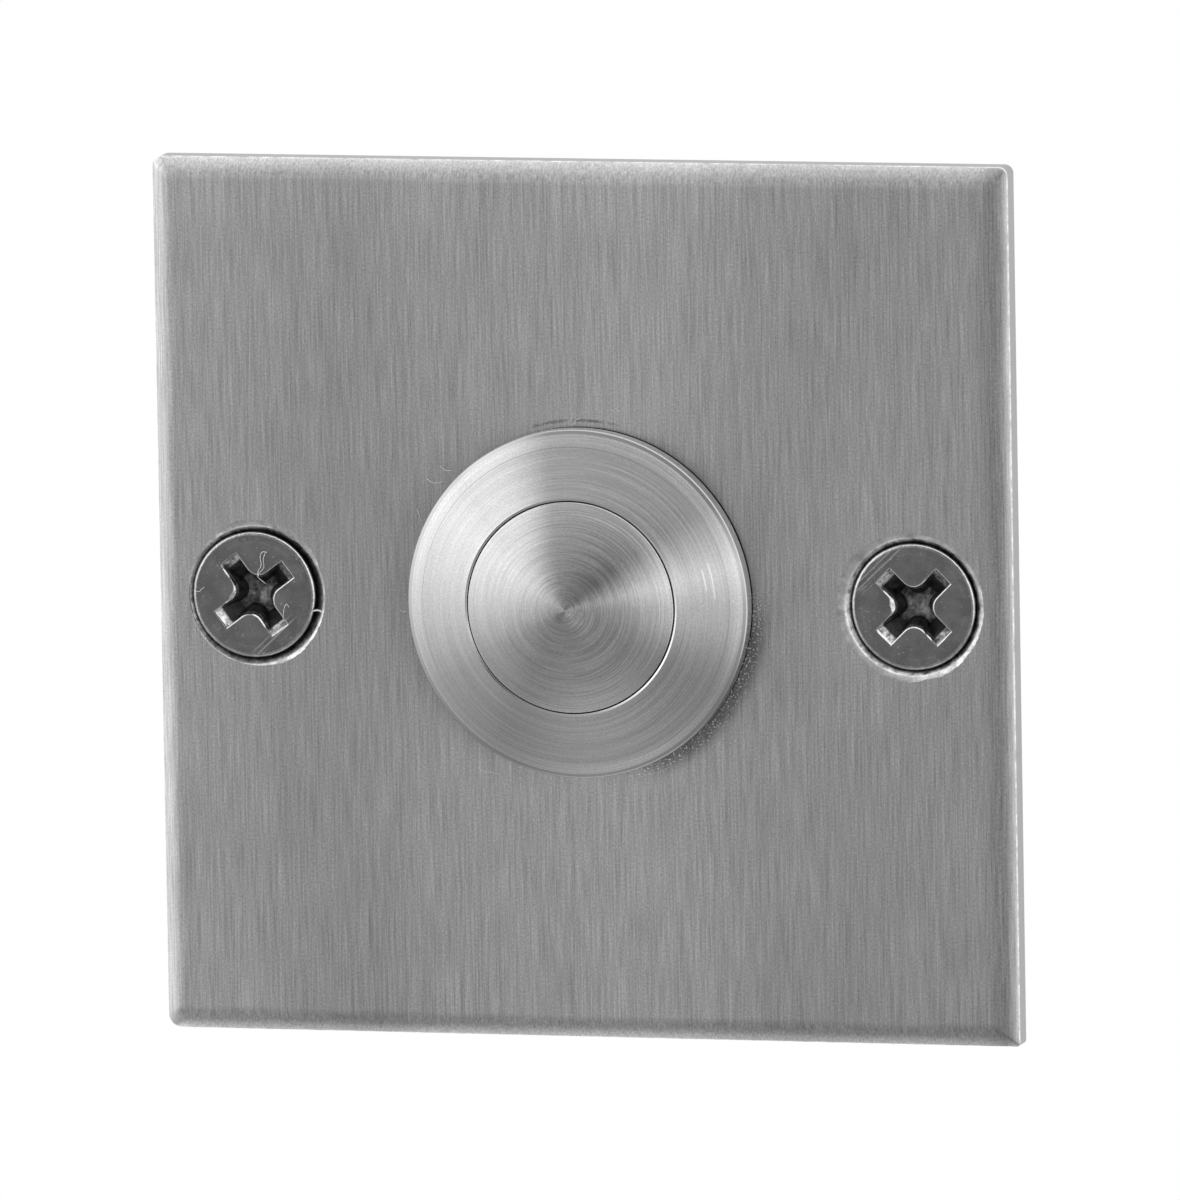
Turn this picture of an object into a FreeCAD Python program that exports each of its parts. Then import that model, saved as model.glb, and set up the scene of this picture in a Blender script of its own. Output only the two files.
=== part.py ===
import FreeCAD, Part
import math
import os

# Doorbell push button: a square brushed face plate with a turned push button in its middle and a
# countersunk screw at each side. Millimetres. The origin is the centre of the plate's back face.
# +X is to the right and +Z up as seen from the front, the front faces -Y and the wall lies at +Y.

# Face plate
PLATE_WIDTH = 50.0
PLATE_HEIGHT = 50.0
PLATE_THICKNESS = 2.0
PLATE_CORNER_RADIUS = 0.7
PLATE_FRONT_ROUND = 0.45
PLATE_BACK_CHAMFER = 0.1
SPOTFACE_DEPTH = 0.3
SPOTFACE_CLEARANCE = 1.5

# Button housing: flange with a conical front, and a barrel with a fine 16 mm thread
BARREL_RADIUS = 8.0
BARREL_WALL = 1.2
BARREL_END_LAND = 0.85
BARREL_END_CHAMFER = 0.5
FLANGE_OVERHANG = 1.95
FLANGE_WALL = 0.9
FLANGE_CONE_RISE = 1.5
RIM_CHAMFER = 0.1
BORE_CHAMFER = 0.12
LIP_LENGTH = 3.1

# Push cap
CAP_SHOULDER_CLEARANCE = 0.2
CAP_SHOULDER_WIDTH = 0.6
CAP_SHOULDER_LENGTH = 1.1
CAP_STOP_GAP = 0.05
CAP_FIT = 0.08
CAP_PROUD = 0.05
CAP_DOME_RISE = 1.32
CAP_EDGE_CHAMFER = 0.12
CAP_WALL = 1.0
SEAL_GROOVE_DEPTH = 0.8
SEAL_GROOVE_WIDTH = 0.9
SEAL_GROOVE_SETBACK = 0.9
POCKET_DEPTH = 2.1
STEM_LENGTH = 4.6
STEM_STEP = 0.4
PLUNGER_SHARE = 0.4

# Travel of the button and the spare gap that is left at the contacts when it is pressed home
TRAVEL = 1.2
CONTACT_SPARE_GAP = 0.05

# Seals
GASKET_THICKNESS = 0.3
GASKET_SETBACK = 0.65
SEAL_CLEARANCE = 0.02
SEAL_CORNER = 0.25

# Return spring, between the cap's pocket and the guide plate
SPRING_WIRE = 0.6
SPRING_COLLAR_GAP = 0.25
SPRING_LENGTH = 7.53
SPRING_TURNS = 3.25
WIRE_SIDES = 4

# Guide plate: the return spring's seat and the plunger's guide
GUIDE_THICKNESS = 1.5
GUIDE_COLLAR_WALL = 0.72
GUIDE_COLLAR_HEIGHT = 0.8
INSERT_CLEARANCE = 0.05
SLIDE_CLEARANCE = 0.08

# Plunger, and the bowed leaf on its pin that bridges the two terminals
PLUNGER_LENGTH = 8.5
PLUNGER_PIN_STEP = 1.1
PLUNGER_HEAD_OVERHANG = 0.6
PLUNGER_HEAD_LENGTH = 0.6
BRIDGE_END_CLEARANCE = 0.6
BRIDGE_SIDE_WALL = 0.8
BRIDGE_THICKNESS = 0.3
BRIDGE_FLAT_MARGIN = 0.2
BRIDGE_BOW = 0.9
CONTACT_STUD_RADIUS = 0.7
CONTACT_STUD_HEIGHT = 0.3
CONTACT_STUD_SETBACK = 1.1

# Switch base
CHAMBER_WALL = 0.85
BASE_SHOULDER_LENGTH = 1.75
BASE_TAIL_STEP = 0.65
BASE_TAIL_LENGTH = 4.8
BARRIER_HALF_THICKNESS = 0.5
BARRIER_SETBACK = 0.9
BARRIER_HEIGHT = 2.0

# Terminals and what clamps a wire on each
TERMINAL_EDGE_WALL = 0.6
TERMINAL_HALF_WIDTH = 1.3
TERMINAL_THICKNESS = 0.4
TERMINAL_LEG_THICKNESS = 0.6
TERMINAL_PAD_MARGIN = 0.5
TERMINAL_BARRIER_GAP = 0.6
TERMINAL_TAB_HALF_WIDTH = 2.1
TERMINAL_TAB_THICKNESS = 0.8
TERMINAL_SCREW_DEPTH = 3.8
TERMINAL_HEAD_HEIGHT = 1.4
TERMINAL_HEAD_CHAMFER = 0.3
TERMINAL_SLOT_WIDTH = 0.6
TERMINAL_SLOT_DEPTH = 0.8
CLAMP_MARGIN = 0.15
TERMINAL_SCREW_SHARE = 0.585
CLAMP_THICKNESS = 0.6
SCREW_PLAY = 0.05

# Retaining ring in a groove near the barrel's end
RING_WIRE = 0.6
RING_GRIP = 0.2
RING_BASE_GAP = 0.1
RING_ARC = 300.0
RING_PLAY = 0.05

# Lock washer and nut
THREAD_PLAY = 0.1
WASHER_WIDTH = 2.3
WASHER_THICKNESS = 0.6
WASHER_BAND = 1.3
WASHER_TEETH = 12
WASHER_TOOTH_SHARE = 0.55
NUT_SIDES = 6
NUT_WALL = 1.4
NUT_THICKNESS = 3.0
NUT_CHAMFER_ANGLE = 30.0

# Countersunk fixing screws. The left one was driven a little off the middle of its hole.
SCREW_EDGE_DISTANCE = 5.75
SCREW_HEAD_RADIUS = 3.6
SCREW_HEAD_LAND = 0.12
SCREW_HEAD_SUNK = 0.12
SCREW_NECK_RADIUS = 1.45
SCREW_THREAD_RADIUS = 2.0
SCREW_THREAD_START = 0.8
SCREW_LENGTH = 20.0
SCREW_POINT_LENGTH = 5.0
SCREW_POINT_RADIUS = 0.3
LEFT_SCREW_OFFSET = -0.15
LEFT_SCREW_TURN = 38.0
RIGHT_SCREW_TURN = 45.6
HOLE_PLAY = 0.35
COUNTERSINK_MARGIN = 0.4
LIP_BEVEL_WIDTH = 0.25
LIP_BEVEL_DEPTH = 0.12

# Cross recess of a fixing screw
RECESS_HALF_SPAN = 2.43
RECESS_HALF_WIDTH = 0.52
RECESS_CORNER = 0.85
RECESS_DEPTH = 1.9
RECESS_FLOOR_HALF_SPAN = 1.15
RECESS_FLOOR_HALF_WIDTH = 0.38
RECESS_FLOOR_CORNER = 0.55

# Radii that follow from the sizes above
FLANGE_RADIUS = BARREL_RADIUS + FLANGE_OVERHANG
BARREL_BORE_RADIUS = BARREL_RADIUS - BARREL_WALL
SHOULDER_RADIUS = BARREL_BORE_RADIUS - CAP_SHOULDER_CLEARANCE
CAP_RADIUS = SHOULDER_RADIUS - CAP_SHOULDER_WIDTH
BORE_RADIUS = CAP_RADIUS + CAP_FIT
POCKET_RADIUS = CAP_RADIUS - CAP_WALL
PLUNGER_RADIUS = CAP_RADIUS * PLUNGER_SHARE
GUIDE_RADIUS = PLUNGER_RADIUS + SLIDE_CLEARANCE
COLLAR_RADIUS = GUIDE_RADIUS + GUIDE_COLLAR_WALL
COIL_RADIUS = COLLAR_RADIUS + SPRING_COLLAR_GAP + SPRING_WIRE / 2
STEM_RADIUS = PLUNGER_RADIUS - STEM_STEP
PIN_RADIUS = PLUNGER_RADIUS - PLUNGER_PIN_STEP
PIN_HEAD_RADIUS = PIN_RADIUS + PLUNGER_HEAD_OVERHANG
INSERT_RADIUS = BARREL_BORE_RADIUS - INSERT_CLEARANCE
CHAMBER_RADIUS = INSERT_RADIUS - CHAMBER_WALL
BASE_TAIL_RADIUS = INSERT_RADIUS - BASE_TAIL_STEP
RING_INNER_RADIUS = BASE_TAIL_RADIUS + RING_BASE_GAP
RING_OUTER_RADIUS = BARREL_BORE_RADIUS + RING_GRIP
THREAD_HOLE_RADIUS = BARREL_RADIUS + THREAD_PLAY
WASHER_RADIUS = THREAD_HOLE_RADIUS + WASHER_WIDTH
NUT_ACROSS_FLATS = 2 * (THREAD_HOLE_RADIUS + NUT_WALL)
SCREW_HOLE_RADIUS = SCREW_THREAD_RADIUS + HOLE_PLAY

# Distances along X and Z of the contacts and terminals
BRIDGE_HALF_WIDTH = PIN_RADIUS + BRIDGE_SIDE_WALL
BRIDGE_HALF_LENGTH = CHAMBER_RADIUS - BRIDGE_END_CLEARANCE
CONTACT_STUD_OFFSET = BRIDGE_HALF_LENGTH - CONTACT_STUD_SETBACK
TERMINAL_REACH = BASE_TAIL_RADIUS - TERMINAL_EDGE_WALL
TERMINAL_PAD_INNER = CONTACT_STUD_OFFSET - CONTACT_STUD_RADIUS - TERMINAL_PAD_MARGIN
TERMINAL_TAB_INNER = BARRIER_HALF_THICKNESS + TERMINAL_BARRIER_GAP
TERMINAL_SCREW_OFFSET = (TERMINAL_REACH + TERMINAL_TAB_INNER) / 2
CLAMP_HALF_SIZE = (TERMINAL_REACH - TERMINAL_TAB_INNER) / 2 - CLAMP_MARGIN
TERMINAL_SCREW_RADIUS = CLAMP_HALF_SIZE * TERMINAL_SCREW_SHARE
TERMINAL_SCREW_HOLE = TERMINAL_SCREW_RADIUS + SCREW_PLAY

# Places along +Y that follow from the sizes above, from the plate's front back to the wires
PLATE_FRONT = -PLATE_THICKNESS
SCREW_HEAD_TOP = PLATE_FRONT + SCREW_HEAD_SUNK
FLANGE_SEAT = PLATE_FRONT - GASKET_THICKNESS
FLANGE_RIM = FLANGE_SEAT - FLANGE_WALL
BORE_MOUTH = FLANGE_RIM - FLANGE_CONE_RISE
LIP_BACK = BORE_MOUTH + LIP_LENGTH
CAP_EDGE = BORE_MOUTH - CAP_PROUD
CAP_TIP = CAP_EDGE - CAP_DOME_RISE
SEAL_GROOVE_FRONT = CAP_EDGE + SEAL_GROOVE_SETBACK
SHOULDER_FRONT = LIP_BACK + CAP_STOP_GAP
SHOULDER_BACK = SHOULDER_FRONT + CAP_SHOULDER_LENGTH
POCKET_FLOOR = SHOULDER_BACK - POCKET_DEPTH
STEM_END = POCKET_FLOOR + STEM_LENGTH
SPRING_FRONT = POCKET_FLOOR + SEAL_CLEARANCE
GUIDE_FRONT = SPRING_FRONT + SPRING_LENGTH
GUIDE_BACK = GUIDE_FRONT + GUIDE_THICKNESS
PLUNGER_SHOULDER = STEM_END + PLUNGER_LENGTH
BRIDGE_BACK = PLUNGER_SHOULDER + BRIDGE_THICKNESS
PLUNGER_END = BRIDGE_BACK + PLUNGER_HEAD_LENGTH
STUD_BACK = BRIDGE_BACK + BRIDGE_BOW + CONTACT_STUD_HEIGHT
PAD_FRONT = STUD_BACK + TRAVEL + CONTACT_SPARE_GAP
CHAMBER_FLOOR = PAD_FRONT + TERMINAL_THICKNESS
BASE_SHOULDER = CHAMBER_FLOOR + BASE_SHOULDER_LENGTH
RING_FRONT = BASE_SHOULDER + RING_PLAY
RING_GROOVE_BACK = RING_FRONT + RING_WIRE + RING_PLAY
BARREL_END = RING_GROOVE_BACK + BARREL_END_LAND
BASE_BACK = BASE_SHOULDER + BASE_TAIL_LENGTH
TAB_BACK = BASE_BACK + TERMINAL_TAB_THICKNESS
CLAMP_BACK = TAB_BACK + CLAMP_THICKNESS
NUT_FRONT = WASHER_THICKNESS - SPOTFACE_DEPTH

# How far a cutter reaches past the face that it opens
CUT_PAST = 1.0


def at(x, y, z):
    return FreeCAD.Vector(x, y, z)


def save(name, shape):
    shape.exportStep("parts/" + name + ".step")


def closed_wire(start, steps):
    """Wire in the XY plane. A step is an end point, or a middle point and an end point of an arc."""
    edges = []
    here = start
    for step in list(steps) + [start]:
        if isinstance(step[0], tuple):
            middle, end = step
            edges.append(Part.Arc(at(*here, 0), at(*middle, 0), at(*end, 0)).toShape())
        else:
            end = step
            edges.append(Part.LineSegment(at(*here, 0), at(*end, 0)).toShape())
        here = end
    return Part.Wire(edges)


def turned(start, steps, angle=360.0):
    """Solid of revolution about the Y axis from a profile of (radius, y) points."""
    face = Part.Face(closed_wire(start, steps))
    return face.revolve(at(0, 0, 0), at(0, 1, 0), angle)


def ring(inner, outer, front, back):
    return turned((inner, front), [(outer, front), (outer, back), (inner, back)])


def rod(radius, front, back, x=0.0):
    return Part.makeCylinder(radius, back - front, at(x, front, 0), at(0, 1, 0))


def block(x_low, x_high, front, back, half_height):
    corner = at(x_low, front, -half_height)
    return Part.makeBox(x_high - x_low, back - front, 2 * half_height, corner)


def edges_where(shape, test):
    return [edge for edge in shape.Edges if test(edge)]


def runs_along_y(edge):
    box = edge.BoundBox
    return box.YLength > box.XLength + box.ZLength


def lies_at_y(edge, y):
    box = edge.BoundBox
    return abs(box.YMin - y) < 1e-6 and abs(box.YMax - y) < 1e-6


def screw_places():
    """Hole centre, screw centre and recess turn of the two fixing screws."""
    half = PLATE_WIDTH / 2 - SCREW_EDGE_DISTANCE
    return {
        "left": (-half, -half + LEFT_SCREW_OFFSET, LEFT_SCREW_TURN),
        "right": (half, half, RIGHT_SCREW_TURN),
    }


def countersink_cutter():
    """Screw hole with its 90 degree countersink and the worn bevel round the mouth."""
    seat = SCREW_HEAD_RADIUS + COUNTERSINK_MARGIN
    bevel_back = PLATE_FRONT + LIP_BEVEL_DEPTH
    cone_back = bevel_back + seat - SCREW_HOLE_RADIUS
    return turned(
        (0, PLATE_FRONT - CUT_PAST),
        [
            (seat + LIP_BEVEL_WIDTH, PLATE_FRONT - CUT_PAST),
            (seat + LIP_BEVEL_WIDTH, PLATE_FRONT),
            (seat, bevel_back),
            (SCREW_HOLE_RADIUS, cone_back),
            (SCREW_HOLE_RADIUS, CUT_PAST),
            (0, CUT_PAST),
        ],
    )


def face_plate():
    half = PLATE_WIDTH / 2
    plate = block(-half, half, PLATE_FRONT, 0, PLATE_HEIGHT / 2)
    plate = plate.makeFillet(PLATE_CORNER_RADIUS, edges_where(plate, runs_along_y))
    front = edges_where(plate, lambda edge: lies_at_y(edge, PLATE_FRONT))
    plate = plate.makeFillet(PLATE_FRONT_ROUND, front)
    back = edges_where(plate, lambda edge: lies_at_y(edge, 0))
    plate = plate.makeChamfer(PLATE_BACK_CHAMFER, back)
    plate = plate.cut(rod(THREAD_HOLE_RADIUS, PLATE_FRONT - CUT_PAST, CUT_PAST))
    plate = plate.cut(rod(WASHER_RADIUS + SPOTFACE_CLEARANCE, -SPOTFACE_DEPTH, CUT_PAST))
    for hole_x, _, _ in screw_places().values():
        cutter = countersink_cutter()
        cutter.translate(at(hole_x, 0, 0))
        plate = plate.cut(cutter)
    return plate


def button_housing():
    groove_radius = RING_OUTER_RADIUS + RING_PLAY
    return turned(
        (BORE_RADIUS, BORE_MOUTH + BORE_CHAMFER),
        [
            (BORE_RADIUS + BORE_CHAMFER, BORE_MOUTH),
            (FLANGE_RADIUS - RIM_CHAMFER, FLANGE_RIM),
            (FLANGE_RADIUS, FLANGE_RIM + RIM_CHAMFER),
            (FLANGE_RADIUS, FLANGE_SEAT),
            (BARREL_RADIUS, FLANGE_SEAT),
            (BARREL_RADIUS, BARREL_END - BARREL_END_CHAMFER),
            (BARREL_RADIUS - BARREL_END_CHAMFER, BARREL_END),
            (BARREL_BORE_RADIUS, BARREL_END),
            (BARREL_BORE_RADIUS, RING_GROOVE_BACK),
            (groove_radius, RING_GROOVE_BACK),
            (groove_radius, BASE_SHOULDER),
            (BARREL_BORE_RADIUS, BASE_SHOULDER),
            (BARREL_BORE_RADIUS, LIP_BACK),
            (BORE_RADIUS, LIP_BACK),
        ],
    )


def push_cap():
    """Domed cap with its seal groove, the shoulder that holds it in, a spring pocket and a stem."""
    dome_edge = CAP_RADIUS - CAP_EDGE_CHAMFER
    sphere = (dome_edge**2 + CAP_DOME_RISE**2) / (2 * CAP_DOME_RISE)
    half_angle = math.asin(dome_edge / sphere) / 2
    dome_middle = (sphere * math.sin(half_angle), CAP_TIP + sphere * (1 - math.cos(half_angle)))
    groove_back = SEAL_GROOVE_FRONT + SEAL_GROOVE_WIDTH
    groove_radius = CAP_RADIUS - SEAL_GROOVE_DEPTH
    return turned(
        (0, CAP_TIP),
        [
            (dome_middle, (dome_edge, CAP_EDGE)),
            (CAP_RADIUS, CAP_EDGE + CAP_EDGE_CHAMFER),
            (CAP_RADIUS, SEAL_GROOVE_FRONT),
            (groove_radius, SEAL_GROOVE_FRONT),
            (groove_radius, groove_back),
            (CAP_RADIUS, groove_back),
            (CAP_RADIUS, SHOULDER_FRONT),
            (SHOULDER_RADIUS, SHOULDER_FRONT),
            (SHOULDER_RADIUS, SHOULDER_BACK),
            (POCKET_RADIUS, SHOULDER_BACK),
            (POCKET_RADIUS, POCKET_FLOOR),
            (STEM_RADIUS, POCKET_FLOOR),
            (STEM_RADIUS, STEM_END),
            (0, STEM_END),
        ],
    )


def flange_gasket():
    return ring(THREAD_HOLE_RADIUS, FLANGE_RADIUS - GASKET_SETBACK, FLANGE_SEAT, PLATE_FRONT)


def cap_seal():
    """Ring that fills the cap's groove and wipes the bore, bevelled where it wipes."""
    inner = CAP_RADIUS - SEAL_GROOVE_DEPTH + SEAL_CLEARANCE
    outer = BORE_RADIUS - SEAL_CLEARANCE
    front = SEAL_GROOVE_FRONT + SEAL_CLEARANCE
    back = front + SEAL_GROOVE_WIDTH - 2 * SEAL_CLEARANCE
    return turned(
        (inner, front),
        [
            (outer - SEAL_CORNER, front),
            (outer, front + SEAL_CORNER),
            (outer, back - SEAL_CORNER),
            (outer - SEAL_CORNER, back),
            (inner, back),
        ],
    )


def return_spring():
    """Coil about the Y axis with both ends ground flat. The wire is four-sided, to stay light."""
    path = Part.makeHelix(SPRING_LENGTH / SPRING_TURNS, SPRING_LENGTH, COIL_RADIUS)
    section = []
    for corner in range(WIRE_SIDES + 1):
        angle = 2 * math.pi * (corner + 0.5) / WIRE_SIDES
        out = COIL_RADIUS + SPRING_WIRE / 2 * math.cos(angle)
        section.append(at(out, 0, SPRING_WIRE / 2 * math.sin(angle)))
    coil = Part.Wire(path.Edges).makePipeShell([Part.makePolygon(section)], True, True)
    coil.rotate(at(0, 0, 0), at(1, 0, 0), -90)
    coil.translate(at(0, SPRING_FRONT, 0))
    return coil.common(rod(COIL_RADIUS + SPRING_WIRE, SPRING_FRONT, GUIDE_FRONT))


def guide_plate():
    collar_front = GUIDE_FRONT - GUIDE_COLLAR_HEIGHT
    return turned(
        (GUIDE_RADIUS, collar_front),
        [
            (COLLAR_RADIUS, collar_front),
            (COLLAR_RADIUS, GUIDE_FRONT),
            (INSERT_RADIUS, GUIDE_FRONT),
            (INSERT_RADIUS, GUIDE_BACK),
            (GUIDE_RADIUS, GUIDE_BACK),
        ],
    )


def plunger():
    return turned(
        (0, STEM_END),
        [
            (PLUNGER_RADIUS, STEM_END),
            (PLUNGER_RADIUS, PLUNGER_SHOULDER),
            (PIN_RADIUS, PLUNGER_SHOULDER),
            (PIN_RADIUS, BRIDGE_BACK),
            (PIN_HEAD_RADIUS, BRIDGE_BACK),
            (PIN_HEAD_RADIUS, PLUNGER_END),
            (0, PLUNGER_END),
        ],
    )


def contact_bridge():
    """Bronze leaf: flat round the plunger's pin, then two arms that slope back to contact studs."""
    flat = PIN_HEAD_RADIUS + BRIDGE_FLAT_MARGIN
    tip_flat = CONTACT_STUD_OFFSET - CONTACT_STUD_RADIUS
    outline = [
        (0, PLUNGER_SHOULDER),
        (flat, PLUNGER_SHOULDER),
        (tip_flat, PLUNGER_SHOULDER + BRIDGE_BOW),
        (BRIDGE_HALF_LENGTH, PLUNGER_SHOULDER + BRIDGE_BOW),
        (BRIDGE_HALF_LENGTH, BRIDGE_BACK + BRIDGE_BOW),
        (tip_flat, BRIDGE_BACK + BRIDGE_BOW),
        (flat, BRIDGE_BACK),
        (0, BRIDGE_BACK),
    ]
    face = Part.Face(closed_wire(outline[0], outline[1:]))
    face.translate(at(0, 0, -BRIDGE_HALF_WIDTH))
    arm = face.extrude(at(0, 0, 2 * BRIDGE_HALF_WIDTH))
    stud = rod(CONTACT_STUD_RADIUS, BRIDGE_BACK + BRIDGE_BOW, STUD_BACK, CONTACT_STUD_OFFSET)
    arm = arm.fuse(stud)
    bridge = arm.fuse(mirrored_to(arm, -1)).removeSplitter()
    pin = rod(PIN_RADIUS + SCREW_PLAY, PLUNGER_SHOULDER - CUT_PAST, BRIDGE_BACK + CUT_PAST)
    return bridge.cut(pin)


def switch_base():
    """Moulded cup with the contact chamber in front and the terminal block behind."""
    base = turned(
        (CHAMBER_RADIUS, GUIDE_BACK),
        [
            (INSERT_RADIUS, GUIDE_BACK),
            (INSERT_RADIUS, BASE_SHOULDER),
            (BASE_TAIL_RADIUS, BASE_SHOULDER),
            (BASE_TAIL_RADIUS, BASE_BACK),
            (0, BASE_BACK),
            (0, CHAMBER_FLOOR),
            (CHAMBER_RADIUS, CHAMBER_FLOOR),
        ],
    )
    barrier = block(
        -BARRIER_HALF_THICKNESS,
        BARRIER_HALF_THICKNESS,
        BASE_BACK - CUT_PAST,
        BASE_BACK + BARRIER_HEIGHT,
        BASE_TAIL_RADIUS - BARRIER_SETBACK,
    )
    base = base.fuse(barrier).removeSplitter()
    for side in (-1, 1):
        inner = TERMINAL_REACH - TERMINAL_LEG_THICKNESS - SCREW_PLAY
        slot_x = sorted((side * inner, side * (TERMINAL_REACH + SCREW_PLAY)))
        slot_height = TERMINAL_HALF_WIDTH + SCREW_PLAY
        slot = block(*slot_x, CHAMBER_FLOOR - CUT_PAST, BASE_BACK + CUT_PAST, slot_height)
        hole = rod(
            TERMINAL_SCREW_HOLE,
            BASE_BACK - TERMINAL_SCREW_DEPTH,
            BASE_BACK + CUT_PAST,
            side * TERMINAL_SCREW_OFFSET,
        )
        base = base.cut(slot).cut(hole)
    return base


def terminal(side):
    """Strip bent into a contact pad, a leg through the base and a tab under the wire clamp."""
    leg_inner = TERMINAL_REACH - TERMINAL_LEG_THICKNESS
    pad = block(TERMINAL_PAD_INNER, TERMINAL_REACH, PAD_FRONT, CHAMBER_FLOOR, TERMINAL_HALF_WIDTH)
    leg = block(leg_inner, TERMINAL_REACH, PAD_FRONT, TAB_BACK, TERMINAL_HALF_WIDTH)
    tab = block(TERMINAL_TAB_INNER, TERMINAL_REACH, BASE_BACK, TAB_BACK, TERMINAL_TAB_HALF_WIDTH)
    hole = rod(
        TERMINAL_SCREW_HOLE, BASE_BACK - CUT_PAST, TAB_BACK + CUT_PAST, TERMINAL_SCREW_OFFSET
    )
    strip = pad.fuse([leg, tab]).removeSplitter().cut(hole)
    return mirrored_to(strip, side)


def mirrored_to(shape, side):
    if side > 0:
        return shape
    return shape.mirror(at(0, 0, 0), at(1, 0, 0))


def cross_outline(half_span, half_width, corner, y):
    """Edges of a cross in a plane across the Y axis, with its four inner corners rounded."""
    start = half_width + corner
    bend = start - corner * math.sqrt(0.5)
    edges = []
    for quarter in range(4):
        points = [
            at(start, y, half_width),
            at(half_span, y, half_width),
            at(half_span, y, -half_width),
            at(start, y, -half_width),
            at(bend, y, -bend),
            at(half_width, y, -start),
        ]
        turn = FreeCAD.Rotation(at(0, 1, 0), 90 * quarter)
        points = [turn.multVec(point) for point in points]
        for first, last in zip(points[:3], points[1:4]):
            edges.append(Part.LineSegment(first, last).toShape())
        edges.append(Part.Arc(points[3], points[4], points[5]).toShape())
    return edges


def wall_between(first, second):
    """Flat wall between two parallel straight edges, or a ruled one between two arcs."""
    if first.Curve.TypeId != "Part::GeomLine":
        return Part.makeRuledSurface(first, second)
    corners = [vertex.Point for vertex in first.Vertexes + second.Vertexes[::-1]]
    return Part.Face(Part.makePolygon(corners + corners[:1]))


def cross_recess():
    """Tapered cross recess, wide at the head's top and deepening to a small star."""
    mouth = cross_outline(RECESS_HALF_SPAN, RECESS_HALF_WIDTH, RECESS_CORNER, SCREW_HEAD_TOP)
    floor = cross_outline(
        RECESS_FLOOR_HALF_SPAN,
        RECESS_FLOOR_HALF_WIDTH,
        RECESS_FLOOR_CORNER,
        SCREW_HEAD_TOP + RECESS_DEPTH,
    )
    faces = [wall_between(top, bottom) for top, bottom in zip(mouth, floor)]
    faces += [Part.Face(Part.Wire(mouth)), Part.Face(Part.Wire(floor))]
    shell = Part.makeShell(faces)
    shell.sewShape()
    return Part.makeSolid(shell)


def mounting_screw(x, turn):
    """Countersunk wood screw. Its thread is the plain cylinder of its outer radius."""
    land_back = SCREW_HEAD_TOP + SCREW_HEAD_LAND
    neck_front = land_back + SCREW_HEAD_RADIUS - SCREW_NECK_RADIUS
    tip = SCREW_HEAD_TOP + SCREW_LENGTH
    screw = turned(
        (0, SCREW_HEAD_TOP),
        [
            (SCREW_HEAD_RADIUS, SCREW_HEAD_TOP),
            (SCREW_HEAD_RADIUS, land_back),
            (SCREW_NECK_RADIUS, neck_front),
            (SCREW_NECK_RADIUS, SCREW_THREAD_START),
            (SCREW_THREAD_RADIUS, SCREW_THREAD_START),
            (SCREW_THREAD_RADIUS, tip - SCREW_POINT_LENGTH),
            (SCREW_POINT_RADIUS, tip),
            (0, tip),
        ],
    )
    screw = screw.cut(cross_recess())
    screw.rotate(at(0, 0, 0), at(0, 1, 0), turn)
    screw.translate(at(x, 0, 0))
    return screw


def terminal_screw(side):
    """Slotted cheese head screw that clamps the bell wire. Its slot faces the wall."""
    head_back = CLAMP_BACK + TERMINAL_HEAD_HEIGHT
    screw = turned(
        (0, BASE_BACK - TERMINAL_SCREW_DEPTH),
        [
            (TERMINAL_SCREW_RADIUS, BASE_BACK - TERMINAL_SCREW_DEPTH),
            (TERMINAL_SCREW_RADIUS, CLAMP_BACK),
            (CLAMP_HALF_SIZE, CLAMP_BACK),
            (CLAMP_HALF_SIZE, head_back - TERMINAL_HEAD_CHAMFER),
            (CLAMP_HALF_SIZE - TERMINAL_HEAD_CHAMFER, head_back),
            (0, head_back),
        ],
    )
    slot = block(
        -CLAMP_HALF_SIZE,
        CLAMP_HALF_SIZE,
        head_back - TERMINAL_SLOT_DEPTH,
        head_back + CUT_PAST,
        TERMINAL_SLOT_WIDTH / 2,
    )
    screw = screw.cut(slot)
    screw.translate(at(side * TERMINAL_SCREW_OFFSET, 0, 0))
    return screw


def wire_clamp(side):
    low = TERMINAL_SCREW_OFFSET - CLAMP_HALF_SIZE
    high = TERMINAL_SCREW_OFFSET + CLAMP_HALF_SIZE
    clamp = block(low, high, TAB_BACK, CLAMP_BACK, CLAMP_HALF_SIZE)
    clamp = clamp.makeChamfer(CLAMP_THICKNESS / 2, edges_where(clamp, runs_along_y))
    hole = rod(
        TERMINAL_SCREW_HOLE, TAB_BACK - CUT_PAST, CLAMP_BACK + CUT_PAST, TERMINAL_SCREW_OFFSET
    )
    return mirrored_to(clamp.cut(hole), side)


def retaining_ring():
    """Open ring in the barrel's groove, which holds the base's shoulder."""
    back = RING_FRONT + RING_WIRE
    profile = [(RING_OUTER_RADIUS, RING_FRONT), (RING_OUTER_RADIUS, back), (RING_INNER_RADIUS, back)]
    return turned((RING_INNER_RADIUS, RING_FRONT), profile, RING_ARC)


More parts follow.
